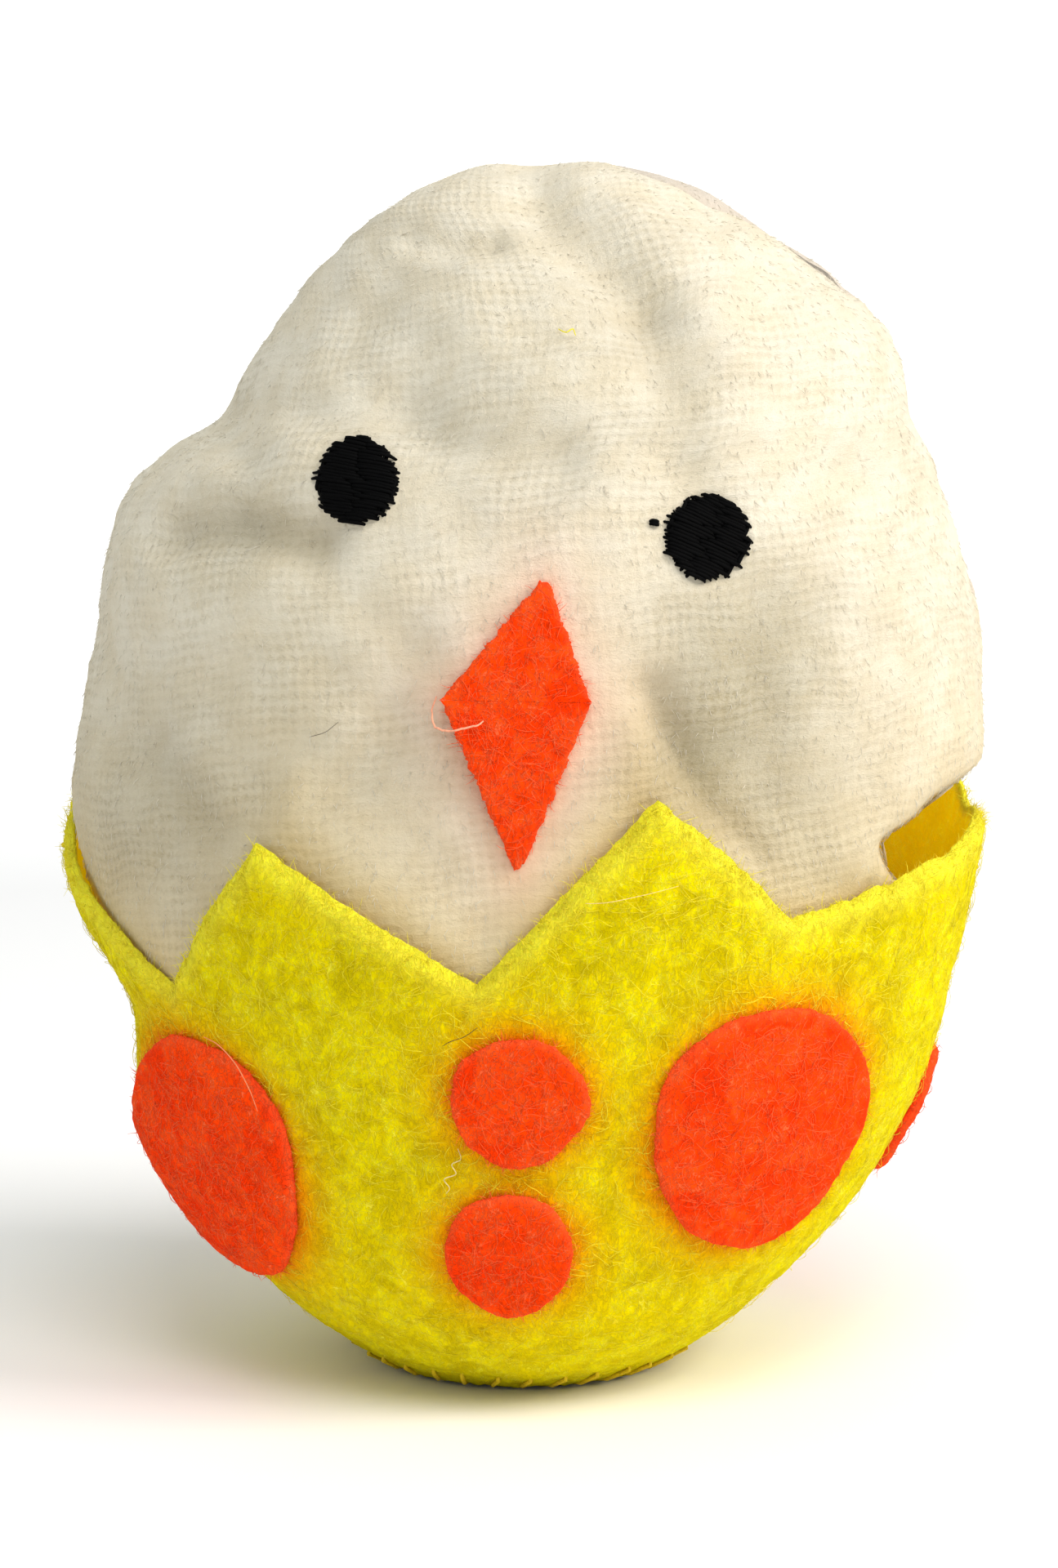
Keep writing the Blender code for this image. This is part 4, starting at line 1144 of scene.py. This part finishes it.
# --- eggshell's base and seams ---
def make_base(look):
    """Oval felt disc that closes the bottom."""
    angles = 2 * math.pi * np.arange(BASE_TURNS) / BASE_TURNS
    # share of the radius and height, from the middle of the top round to the middle below
    profile = [(share, SHELL_FELT) for share in np.linspace(0, 0.95, BASE_RINGS)[1:]]
    profile += [(0.985, SHELL_FELT * 0.9), (1.0, SHELL_FELT * 0.55), (0.985, 0.12)]
    profile += [(share, 0.0) for share in np.linspace(0.95, 0, BASE_RINGS)[:-1]]
    grid = np.stack([np.stack([BASE_HALF_WIDTH * share * np.cos(angles),
                               BASE_HALF_DEPTH * share * np.sin(angles),
                               np.full(BASE_TURNS, height)], 1) for share, height in profile])
    grid[..., 2] += 0.06 * (1 + ripples(grid, 2.0, 71)) * (grid[..., 2] < SHELL_FELT * 0.5)
    points = np.concatenate([grid.reshape(-1, 3), [(0, 0, SHELL_FELT), (0, 0, 0.05)]])
    index = np.arange(len(profile) * BASE_TURNS).reshape(-1, BASE_TURNS)
    faces = closed_faces(index, len(points) - 2, len(points) - 1, downward=True)
    disc = mesh_object("shell_base_disc_felt", points, faces, look)
    edge = np.array([smoothstep(0.9, 1, share) for share, _ in profile])
    give_values(disc, "edge", np.concatenate([np.repeat(edge, BASE_TURNS), [0, 0]]))
    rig.ride(disc, "eggshell")
    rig.replaces(disc, "shell_base_disc")
    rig.slot(disc, "yellow_felt")
    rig.sheet(disc, flat=(2 * BASE_HALF_WIDTH * MM, 2 * BASE_HALF_DEPTH * MM), held="stretched",
             area=math.pi * BASE_HALF_WIDTH * BASE_HALF_DEPTH * MM * MM)


def make_shell_stitches(look):
    """Whip stitches round the base, and ladder stitches up both side seams."""
    picker = np.random.default_rng(61)
    whip = []
    for angle in np.arange(0, 2 * math.pi, 2 * math.pi / BASE_STITCHES):
        lean = 0.045 + picker.uniform(-0.015, 0.015)
        arc = arc_at_height(1.9) + picker.uniform(-0.3, 0.3)
        wall = shell_point(angle + lean, arc, 0.22)
        under = shell_base(angle - lean, 0.0) * (0.86, 0.86, 0) + (0, 0, 0.02)
        knee = shell_base(angle, arc_at_height(0.5)) * (1.015, 1.015, 1) + (0, 0, 0.05)
        inner = shell_point(angle + lean, arc + 0.3, -0.3)
        whip.append([inner, wall, knee, under, under + (0, 0, 0.5)])
    radii = np.tile([0.12, 0.2, 0.22, 0.2, 0.12], (len(whip), 1))
    made = [(tubes("shell_base_stitches", whip, radii, look, sides=8), "shell_base_thread")]
    for name, azimuth in (("left", -90.0), ("right", 90.0)):
        ladder = []
        top = float(rim_arc(azimuth)) - 1.4
        for number, arc in enumerate(np.arange(3.4, top, 1.9)):
            arc = arc + picker.uniform(-0.15, 0.15)
            across = np.radians(azimuth + np.array((-2.0, -1.2, 0.0, 1.2, 2.0)))
            slant = arc + np.array((-0.45, -0.3, 0.0, 0.3, 0.45)) * (-1) ** number * 0.6
            ladder.append(shell_point(across, slant, np.array((-0.4, 0.12, 0.2, 0.12, -0.4))))
        radii = np.tile([0.12, 0.18, 0.2, 0.18, 0.12], (len(ladder), 1))
        seam = tubes("shell_side_stitches_" + name, ladder, radii, look, sides=8)
        made.append((seam, "shell_side_thread_" + name))
    for stitches, node in made:
        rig.ride(stitches, "eggshell")
        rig.replaces(stitches, node)
        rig.slot(stitches, "yellow_thread")


# --- loose fibres ---
def wander(picker, count, points, length, bend):
    """Curling paths in a plane, each about its own middle: (count, points, 2)."""
    step = length / (points - 1)
    curl = picker.normal(0, bend, (count, 1)) + picker.normal(0, bend * 0.8, (count, points))
    heading = picker.uniform(0, 2 * math.pi, (count, 1)) + np.cumsum(curl * step, 1)
    path = np.cumsum(step[..., None] * np.stack([np.cos(heading), np.sin(heading)], -1), 1)
    return path - path.mean(1, keepdims=True)


def lying_fibres(picker, count, place, spots, longest=3.4, above=0.02):
    """Fibres that lie on felt: place(u, v, lift) with spots (count, 2) as their middles."""
    points = 6
    length = picker.uniform(1.0, longest, (count, 1))
    path = spots[:, None, :] + wander(picker, count, points, length, 0.4)
    t = np.linspace(0, 1, points)[None, :]
    loops = picker.random((count, 1)) ** 4 * 0.5
    lift = above + loops * np.sin(math.pi * t) - 0.09 * (np.abs(2 * t - 1) > 0.99)
    lift = lift + picker.uniform(-0.03, 0.03, (count, points))
    routes = place(path[..., 0], path[..., 1], lift)
    radii = picker.uniform(0.016, 0.03, (count, 1)) * np.where(np.abs(2 * t - 1) > 0.99, 0.4, 1.0)
    return routes, radii


def fuzz_fibres(picker, roots, outward, longest=0.9):
    """Short fibre ends that stand off a cut edge at roots, mostly along outward."""
    count = len(roots)
    lean = unit(outward + picker.normal(0, 0.65, (count, 3)))
    bend = unit(lean + picker.normal(0, 0.8, (count, 3)))
    length = longest * picker.random((count, 1)) ** 1.8 + 0.15
    routes = np.stack([roots - lean * 0.15, roots + lean * length * 0.35,
                       roots + (lean * 0.6 + bend * 0.35) * length,
                       roots + (lean * 0.6 + bend * 0.8) * length * 1.1], 1)
    return routes, np.tile([0.03, 0.028, 0.022, 0.009], (count, 1))


def make_wall_fibres(node, look, seed):
    """Fibres that lie on a wall panel, and fuzz along its cut rim."""
    start, end = PANEL_AZIMUTHS[node]
    picker = np.random.default_rng(seed)
    count = WALL_FIBRES
    azimuth = picker.uniform(start + 1.5, end - 1.5, count)
    top = rim_arc(azimuth)
    arc = top * np.sqrt(picker.uniform(0.02, 0.97, count))
    radius = MEAN_RADIUS * np.clip(np.sin(arc / 24), 0.35, 1)

    def place(u, v, lift):
        turned = np.radians(azimuth)[:, None] + u / radius[:, None]
        return shell_point(turned, np.minimum(arc[:, None] + v, top[:, None] - 0.5), lift)

    routes, radii = lying_fibres(picker, count, place, np.zeros((count, 2)))
    edge_count = count // 2
    at = picker.uniform(start, end, edge_count)
    down = picker.uniform(0.0, 1.1, edge_count)
    roots = shell_point(np.radians(at), rim_arc(at) - down, -1.0 + 0.8 * down)
    outward = shell_normal(np.radians(at), rim_arc(at)) * 0.6 + np.array((0, 0, 0.9))
    fuzz, fuzz_radii = fuzz_fibres(picker, roots, outward)
    for kind, made, thick in (("fibres", routes, radii), ("edge_fuzz", fuzz, fuzz_radii)):
        mesh = tubes(node + "_" + kind, made, thick, look)
        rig.ride(mesh, "eggshell")
        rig.slot(mesh, "yellow_felt")


# --- flat-cut felt patches ---
def flat_cut_place(azimuth, arc):
    """Place function for a patch cut flat and laid on the wall, centred at (azimuth, arc).

    Newton's method finds the azimuth and arc whose flat coordinates are (u, v).
    """
    turn, rise, rounds = 0.01, 0.5, 8
    centre = shell_base(azimuth, arc)
    across = unit(shell_base(azimuth + 2 * turn, arc) - shell_base(azimuth - 2 * turn, arc))
    upward = unit(shell_base(azimuth, arc + rise) - shell_base(azimuth, arc - rise))

    def flat(at_azimuth, at_arc):
        away = shell_base(at_azimuth, at_arc) - centre
        return away @ across, away @ upward

    def place(u, v, lift):
        at_azimuth, at_arc = np.full(u.shape, azimuth), np.full(u.shape, float(arc))
        for _ in range(rounds):
            here_u, here_v = flat(at_azimuth, at_arc)
            turned_u, turned_v = flat(at_azimuth + turn, at_arc)
            raised_u, raised_v = flat(at_azimuth, at_arc + rise)
            uu, uv = (turned_u - here_u) / turn, (raised_u - here_u) / rise
            vu, vv = (turned_v - here_v) / turn, (raised_v - here_v) / rise
            det = uu * vv - uv * vu
            at_azimuth = at_azimuth + ((u - here_u) * vv - uv * (v - here_v)) / det
            at_arc = at_arc + (uu * (v - here_v) - vu * (u - here_u)) / det
        return shell_point(at_azimuth, at_arc, lift)

    return place


def felt_patch(name, outline, place, thickness, look, rings=22, lift=0.05, seed=1, butted=None,
               ragged=0.06):
    """A flat-cut felt piece with soft, rounded and slightly ragged edges.

    outline is (count, 2), anticlockwise.  place(u, v, lift) puts points on what it lies on.
    butted marks outline points that meet another piece, which stay straight and square.
    """
    count = len(outline)
    butted = np.zeros(count, bool) if butted is None else butted
    picker = np.random.default_rng(seed)
    centre = outline.mean(0)
    frayed = ragged * (0.4 * picker.normal(size=count) + ripples(outline, 1.6, seed))
    frayed[butted] = 0
    outward = unit(outline - centre)
    outline = outline + outward * frayed[:, None]
    size = np.linalg.norm(outline - centre, axis=1).mean()
    # profile from the middle of the top, over the rounded edge, to the middle of the underside
    inner = 1 - 0.55 / size
    profile = [(share, thickness) for share in np.linspace(0, inner, rings)[1:]]
    profile += [(1 - 0.3 / size, thickness * 0.93), (1 - 0.1 / size, thickness * 0.76),
                (1.0, thickness * 0.5), (1 - 0.08 / size, thickness * 0.2)]
    profile += [(share, 0.0) for share in np.linspace(1 - 0.3 / size, 0, rings // 2)[:-1]]
    upper_half = 0.4 * thickness
    rows, edges = [], []
    for share, height in profile:
        ring = centre + (outline - centre) * share
        square = thickness if height > upper_half else height
        rows.append(place(ring[:, 0], ring[:, 1], lift + np.where(butted, square, height)))
        near = np.clip(1 - (1 - share) * size / 0.7, 0, 1) if height > 0 else 0.0
        edges.append(np.where(butted, 0.0, near))
    grid = np.stack(rows)

    def middle(height):
        return place(centre[None, 0], centre[None, 1], np.array([lift + height]))[0]

    top_rows = sum(height > upper_half for _, height in profile)
    nap = 0.06 * ripples(grid, 1.4, seed + 60) + 0.035 * ripples(grid, 0.65, seed + 70)
    grid[:top_rows] += unit(middle(1.0) - middle(0.0)) * nap[:top_rows, :, None]
    points = np.concatenate([grid.reshape(-1, 3), [middle(thickness), middle(0.0)]])
    index = np.arange(len(profile) * count).reshape(-1, count)
    faces = closed_faces(index, len(points) - 2, len(points) - 1, downward=True)
    patch = mesh_object(name, points, faces, look)
    if butted.any():
        sharpen(patch)
    give_values(patch, "edge", np.concatenate([np.ravel(edges), [0, 0]]))
    return patch


def patch_fibres(outline, place, seed, density=1.5):
    """Fibres lying on a felt patch, and fuzz round its cut edge."""
    picker = np.random.default_rng(seed)
    centre = outline.mean(0)
    spread = np.linalg.norm(outline - centre, axis=1).mean()
    count = int(density * math.pi * spread ** 2)
    rim = picker.integers(0, len(outline), count)
    spots = centre + (outline[rim] - centre) * np.sqrt(picker.random((count, 1))) * 0.86
    routes, radii = lying_fibres(picker, count, place, spots, longest=min(3.2, spread * 0.5),
                                 above=TRIM_FELT + 0.08)
    around = picker.integers(0, len(outline), int(spread * 34))
    height = picker.uniform(0.15, 1.0, len(around))
    edge = outline[around] - unit(outline[around] - centre) * (0.12 + 0.3 * height[:, None] ** 3)
    roots = place(edge[:, 0], edge[:, 1], 0.05 + height * TRIM_FELT)
    beyond = edge + unit(outline[around] - centre)
    outward = unit(place(beyond[:, 0], beyond[:, 1], 0.05 + height * TRIM_FELT) - roots)
    fuzz, fuzz_radii = fuzz_fibres(picker, roots, outward, longest=0.75)
    return routes, radii, fuzz, fuzz_radii


def make_dots(look, fibre_look):
    """The hand-cut dots, none of them quite round."""
    found = []
    for number, (name, (azimuth, height, half_width, half_height)) in enumerate(DOTS.items()):
        angles = 2 * math.pi * np.arange(DOT_POINTS) / DOT_POINTS
        swell = 1 + 0.02 * np.sin(3 * angles + math.radians(azimuth))
        swell += 0.012 * np.sin(5 * angles + number) + 0.006 * np.sin(9 * angles + 2 * number)
        if name == "dot_front_small_upper":
            swell += 0.07 * np.exp(-(np.sin(angles / 2 + 0.06) / 0.2) ** 2)
        outline = np.stack([half_width * swell * np.cos(angles),
                            half_height * swell * np.sin(angles)], 1)
        place = flat_cut_place(math.radians(azimuth), float(arc_at_height(height)))
        dot = felt_patch(name + "_felt", outline, place, TRIM_FELT, look, seed=100 + number)
        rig.ride(dot, "eggshell")
        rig.replaces(dot, name)
        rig.slot(dot, "orange_felt")
        found.append(patch_fibres(outline, place, 300 + number))
        panel = "shell_front_panel_felt" if abs(azimuth) < 90 else "shell_back_panel_felt"
        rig.sheet(dot, flat=(2 * half_width * MM, 2 * half_height * MM), held="laid",
                 rests_on=[panel], area=math.pi * half_width * half_height * MM * MM)
    routes, radii, fuzz, fuzz_radii = (np.concatenate(parts) for parts in zip(*found))
    for name, made, thick in (("dot_fibres", routes, radii), ("dot_edge_fuzz", fuzz, fuzz_radii)):
        mesh = tubes(name, made, thick, fibre_look)
        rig.ride(mesh, "eggshell")
        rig.slot(mesh, "orange_felt")


def line_of(corners, spacing=0.16):
    """Points along a closed outline, without repeating its start."""
    found = []
    for a, b in zip(corners, corners[1:] + corners[:1]):
        count = max(2, int(math.dist(a, b) / spacing))
        t = np.arange(count)[:, None] / count
        found.append(np.array(a) * (1 - t) + np.array(b) * t)
    return np.concatenate(found)


def make_beak(look, fibre_look):
    """The two loose halves of the felt kite, which meet at the sewn fold."""
    def place(u, v, lift):
        # stiff felt: it stands a little off the soft cheek, more along its left edge
        off = 0.25 + 0.07 * np.clip(-u + 1.0, 0, 8)
        return chick_front(u, v, lift + off)

    # the tips are cut blunt, and a hair's gap is left along the fold
    left, right, top, bottom = map(np.array, (BEAK_LEFT, BEAK_RIGHT, BEAK_TOP, BEAK_BOTTOM))
    gap = np.array((0, 0.01))
    upper = line_of([left + gap, right + gap, top + (0.45, -0.25), top + (-0.35, -0.1)])
    lower = line_of([right - gap, left - gap, bottom + (-0.35, 0.2), bottom + (0.45, 0.45)])
    y = chick_front(0.0, BEAK_FOLD_HEIGHT)[1] * MM
    for name, outline, body, way in (("beak_upper", upper, "beak_top", 1),
                                     ("beak_lower", lower, "beak_bottom", -1)):
        crease = distance_to_line(outline[:, 0], outline[:, 1], (BEAK_LEFT, BEAK_RIGHT)) < 0.05
        half = felt_patch(name + "_felt", outline, place, TRIM_FELT, look, rings=16,
                          seed=200, butted=crease, ragged=BEAK_RAGGED)
        bend = [(0, y, (BEAK_FOLD_HEIGHT + reach * way) * MM) for reach in BEAK_BEND]
        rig.blend(half, "chick", body, *bend)
        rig.replaces(half, name)
        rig.slot(half, "orange_felt")
        tall = max(10.0, float(np.ptp(outline[:, 1])))
        wide, high = outline[:, 0], outline[:, 1]
        cut_area = 0.5 * abs(np.sum(wide * np.roll(high, -1) - high * np.roll(wide, -1)))
        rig.sheet(half, flat=(float(np.ptp(wide)) * MM, tall * MM), held="laid",
                 rests_on=["chick_plush_body"], area=float(cut_area) * MM * MM)
        routes, radii, fuzz, fuzz_radii = patch_fibres(outline, place, 400 + way, density=2.2)
        keep = np.abs(fuzz[:, 0, 2] - BEAK_FOLD_HEIGHT) > 0.9
        for kind, made, thick in (("fibres", routes, radii),
                                  ("fuzz", fuzz[keep], fuzz_radii[keep])):
            mesh = tubes(name + "_" + kind, made, thick, fibre_look)
            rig.blend(mesh, "chick", body, *bend)
            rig.slot(mesh, "orange_felt")


def make_beak_stitches(look):
    """Running stitches in the beak's fold, which hold the felt kite to the cheek."""
    routes = []
    for t in np.linspace(0.06, 0.86, 7):
        along = t + np.array((0.0, 0.03, 0.07, 0.1))
        x = BEAK_LEFT[0] + (BEAK_RIGHT[0] - BEAK_LEFT[0]) * along
        z = BEAK_LEFT[1] + (BEAK_RIGHT[1] - BEAK_LEFT[1]) * along
        routes.append(chick_front(x, z, np.array((0.1, 0.75, 0.75, 0.1))))
    stitches = tubes("beak_stitches", routes, np.full((len(routes), 4), 0.15), look, sides=6)
    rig.ride(stitches, "chick")
    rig.replaces(stitches, "beak_stitch_thread")
    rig.slot(stitches, "pale_thread")


# --- stray fibres ---
SHELL_STRAYS = (
    # name, colour, radius, (azimuth in degrees, height, lift) points on the eggshell
    ("pale_squiggle", (0.85, 0.70, 0.30), 0.05,
     ((-8.6, 25.4, 0.1), (-8.2, 24.6, 0.4), (-9.4, 24.2, 0.6), (-9.0, 23.3, 0.4),
      (-10.6, 22.9, 0.6), (-10.0, 22.1, 0.5), (-10.7, 21.4, 0.1))),
    ("dark_fibre", (0.16, 0.10, 0.015), 0.035,
     ((-9.8, 34.4, 0.1), (-8.6, 34.9, 0.3), (-7.0, 35.3, 0.35), (-5.4, 36.0, 0.1))),
    ("dot_edge_thread", (0.97, 0.30, 0.14), 0.05,
     ((-43.5, 33.8, 1.2), (-40.5, 33.4, 1.5), (-38.0, 32.0, 1.5), (-36.6, 30.0, 1.4),
      (-36.0, 28.0, 1.2))),
    ("pale_rim_fibre", (0.93, 0.72, 0.30), 0.028,
     ((-3.5, 47.5, -3.6), (1.0, 46.9, -2.6), (5.0, 46.6, -1.0), (8.6, 46.9, 0.5), (12.6, 47.4, 0.5),
      (17.6, 48.1, 0.15))),
)
CHICK_STRAYS = (
    # name, colour, radius, (x, height, lift) points on the front of the chick
    ("beak_loose_thread", (0.95, 0.42, 0.26), 0.085,
     ((-6.9, 63.6, 0.5), (-7.0, 62.4, 1.3), (-6.5, 61.4, 1.9), (-5.4, 61.0, 2.1), (-4.2, 61.3, 2.0),
      (-3.3, 61.6, 1.9), (-2.9, 61.9, 1.6))),
    ("chick_yellow_lint", (0.85, 0.75, 0.05), 0.06,
     ((3.0, 93.6, 0.2), (3.6, 93.1, 0.6), (4.1, 93.3, 0.7), (4.4, 93.0, 0.3))),
    ("chick_dark_hair", (0.22, 0.19, 0.14), 0.035,
     ((-17.6, 60.0, 0.15), (-16.2, 60.5, 0.4), (-15.2, 61.3, 0.15))),
)


def make_strays(strays, place, body, points, thin, margin):
    """Threads through their points.  Each is thinner at its ends, down to thin times its radius."""
    for name, colour, radius, stops in strays:
        stops = np.array(stops)
        t = np.linspace(0, len(stops) - 1, points)
        where = (curve_through(np.arange(len(stops)), stops[:, k])(t) for k in range(3))
        full = np.sin(math.pi * np.linspace(margin, 1 - margin, points)) ** 0.4
        taper = radius * (thin + (1 - thin) * full)
        thread = tubes("stray_" + name, place(*where)[None], taper[None],
                       thread_look(name + "_look", colour, 0.8, 0.0), sides=6)
        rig.ride(thread, body)


def make_all_strays(tree):
    """Lint and thread ends on the eggshell and on the velour."""
    def on_shell(azimuth, height, lift):
        return shell_point(np.radians(azimuth), arc_at_height(height), lift)

    def on_chick(x, height, lift):
        hits = [on_body(tree, a, b) for a, b in zip(x, height)]
        return np.array([hit + normal * up for up, (hit, normal) in zip(lift, hits)])

    make_strays(SHELL_STRAYS, on_shell, "eggshell", 40, 0.25, 0.04)
    make_strays(CHICK_STRAYS, on_chick, "chick", 36, 0.4, 0.05)


# --- studio, in metres ---
SWEEP_RADIUS = 1.6
SWEEP_BEND = (0.5, 1.45)           # where the floor starts to bend up, and how far it turns
SWEEP_FRONT = -3.0
SWEEP_HALF_WIDTH = 4.0
SKY_TINT = (0.94, 0.985, 1.0, 1)
SKY_STRENGTH = 0.54
OBJECT_MIDDLE = (0, 0, 0.05)
LIGHTS = (
    # name, place, size, watts, tint, target
    ("key_softbox", (0.75, -0.30, 0.62), 0.45, 6.7, (1.0, 0.925, 0.87), OBJECT_MIDDLE),
    ("front_softbox", (0.12, -0.66, 1.05), 0.6, 6.0, (1.0, 0.99, 0.96), OBJECT_MIDDLE),
    ("sweep_light", (0.0, 0.5, 1.3), 1.2, 26.0, (1.0, 1.0, 1.0), (0, 2.6, 1.0)),
)
CAMERA_AIM = (0.00056, 0.0, 0.0528)
CAMERA_DISTANCE = 0.32
CAMERA_ELEVATION = math.radians(6.0)
CAMERA_LENS = 79.7                 # mm, on a 36 mm sensor
CAMERA_SENSOR = 36.0


def make_studio():
    """A pale floor that bends up behind the object, a pale sky and three softboxes."""
    look = Look("studio_sweep_look", roughness=0.95, specular=0.0)
    haze = look.noise(look.place(), 2.0, 2)
    look.colour(look.mix(haze, (0.94, 0.94, 0.94), (0.96, 0.96, 0.96)))
    rows = [(SWEEP_FRONT, 0.0)]
    for a in np.linspace(0, SWEEP_BEND[1], 40):
        rows.append((SWEEP_BEND[0] + SWEEP_RADIUS * math.sin(a),
                     SWEEP_RADIUS - SWEEP_RADIUS * math.cos(a)))
    points = [(x / MM, y / MM, z / MM) for y, z in rows
              for x in (-SWEEP_HALF_WIDTH, SWEEP_HALF_WIDTH)]
    faces = [(2 * i, 2 * i + 1, 2 * i + 3, 2 * i + 2) for i in range(len(rows) - 1)]
    sweep = mesh_object("studio_sweep", points, faces, look.material)
    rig.stage(sweep)
    world = bpy.data.worlds.new("studio_light")
    world.use_nodes = True
    world.node_tree.nodes["Background"].inputs["Color"].default_value = SKY_TINT
    world.node_tree.nodes["Background"].inputs["Strength"].default_value = SKY_STRENGTH
    bpy.context.scene.world = world
    for name, spot, size, power, tint, target in LIGHTS:
        light = bpy.data.lights.new(name, "AREA")
        light.shape, light.size, light.energy, light.color = "SQUARE", size, power, tint
        lamp = bpy.data.objects.new(name, light)
        lamp.location = spot
        away = Vector(target) - Vector(spot)
        lamp.rotation_euler = away.to_track_quat("-Z", "Y").to_euler()
        bpy.context.collection.objects.link(lamp)


def make_camera():
    """The photograph's view."""
    camera = bpy.data.cameras.new("photo_camera")
    camera.lens = CAMERA_LENS
    camera.sensor_width = CAMERA_SENSOR
    camera.clip_start = 0.01
    holder = bpy.data.objects.new("photo_camera", camera)
    way = Vector((0, -math.cos(CAMERA_ELEVATION), math.sin(CAMERA_ELEVATION)))
    holder.location = Vector(CAMERA_AIM) + way * CAMERA_DISTANCE
    holder.rotation_euler = (math.pi / 2 - CAMERA_ELEVATION, 0, 0)
    bpy.context.collection.objects.link(holder)
    bpy.context.scene.camera = holder


def main():
    yellow = felt_look("yellow_felt_look", (0.97, 0.85, 0.0), (0.87, 0.71, 0.0),
                       (0.64, 0.52, 0.0), (1.0, 0.60, 0.0), (1.0, 0.94, 0.08),
                       through=0.4)
    # the orange felt gives off a little painted light
    orange = felt_look("orange_felt_look", (1.0, 0.085, 0.006), (0.99, 0.058, 0.001),
                       (0.93, 0.036, 0.001), (0.55, 0.015, 0.0), (1.0, 0.19, 0.07), rim=0.2,
                       painted_emission=0.11)
    points, normals, tree = make_body()
    make_pile(points, normals)
    make_eye("eye_left", tree, 11, -10)
    make_eye("eye_right", tree, 12, -24, jump=JUMP_STITCH)
    make_seam_stitches(points)
    yellow_fibre = thread_look("yellow_fibre_look", (0.92, 0.80, 0.03), 0.85, 0.0)
    orange_fibre = thread_look("orange_fibre_look", (0.98, 0.13, 0.03), 0.85, 0.0)
    make_beak(orange, orange_fibre)
    for node, seed in (("shell_front_panel", 499), ("shell_back_panel", 501)):
        make_wall_panel(node, yellow)
        make_wall_fibres(node, yellow_fibre, seed)
    make_dots(orange, orange_fibre)
    make_all_strays(tree)
    make_base(yellow)
    make_shell_stitches(thread_look("yellow_thread_look", (0.80, 0.58, 0.005), 0.7, 0.0))
    make_beak_stitches(thread_look("beak_thread_look", (0.80, 0.72, 0.58), 0.75, 0.0))
    make_studio()
    make_camera()
    bpy.context.scene.view_settings.view_transform = "Standard"


main()
with open("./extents.json", "w") as size_file:
    json.dump([[list(corner) for corner in CAD_BOX], [list(corner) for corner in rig.bounds()]],
              size_file)
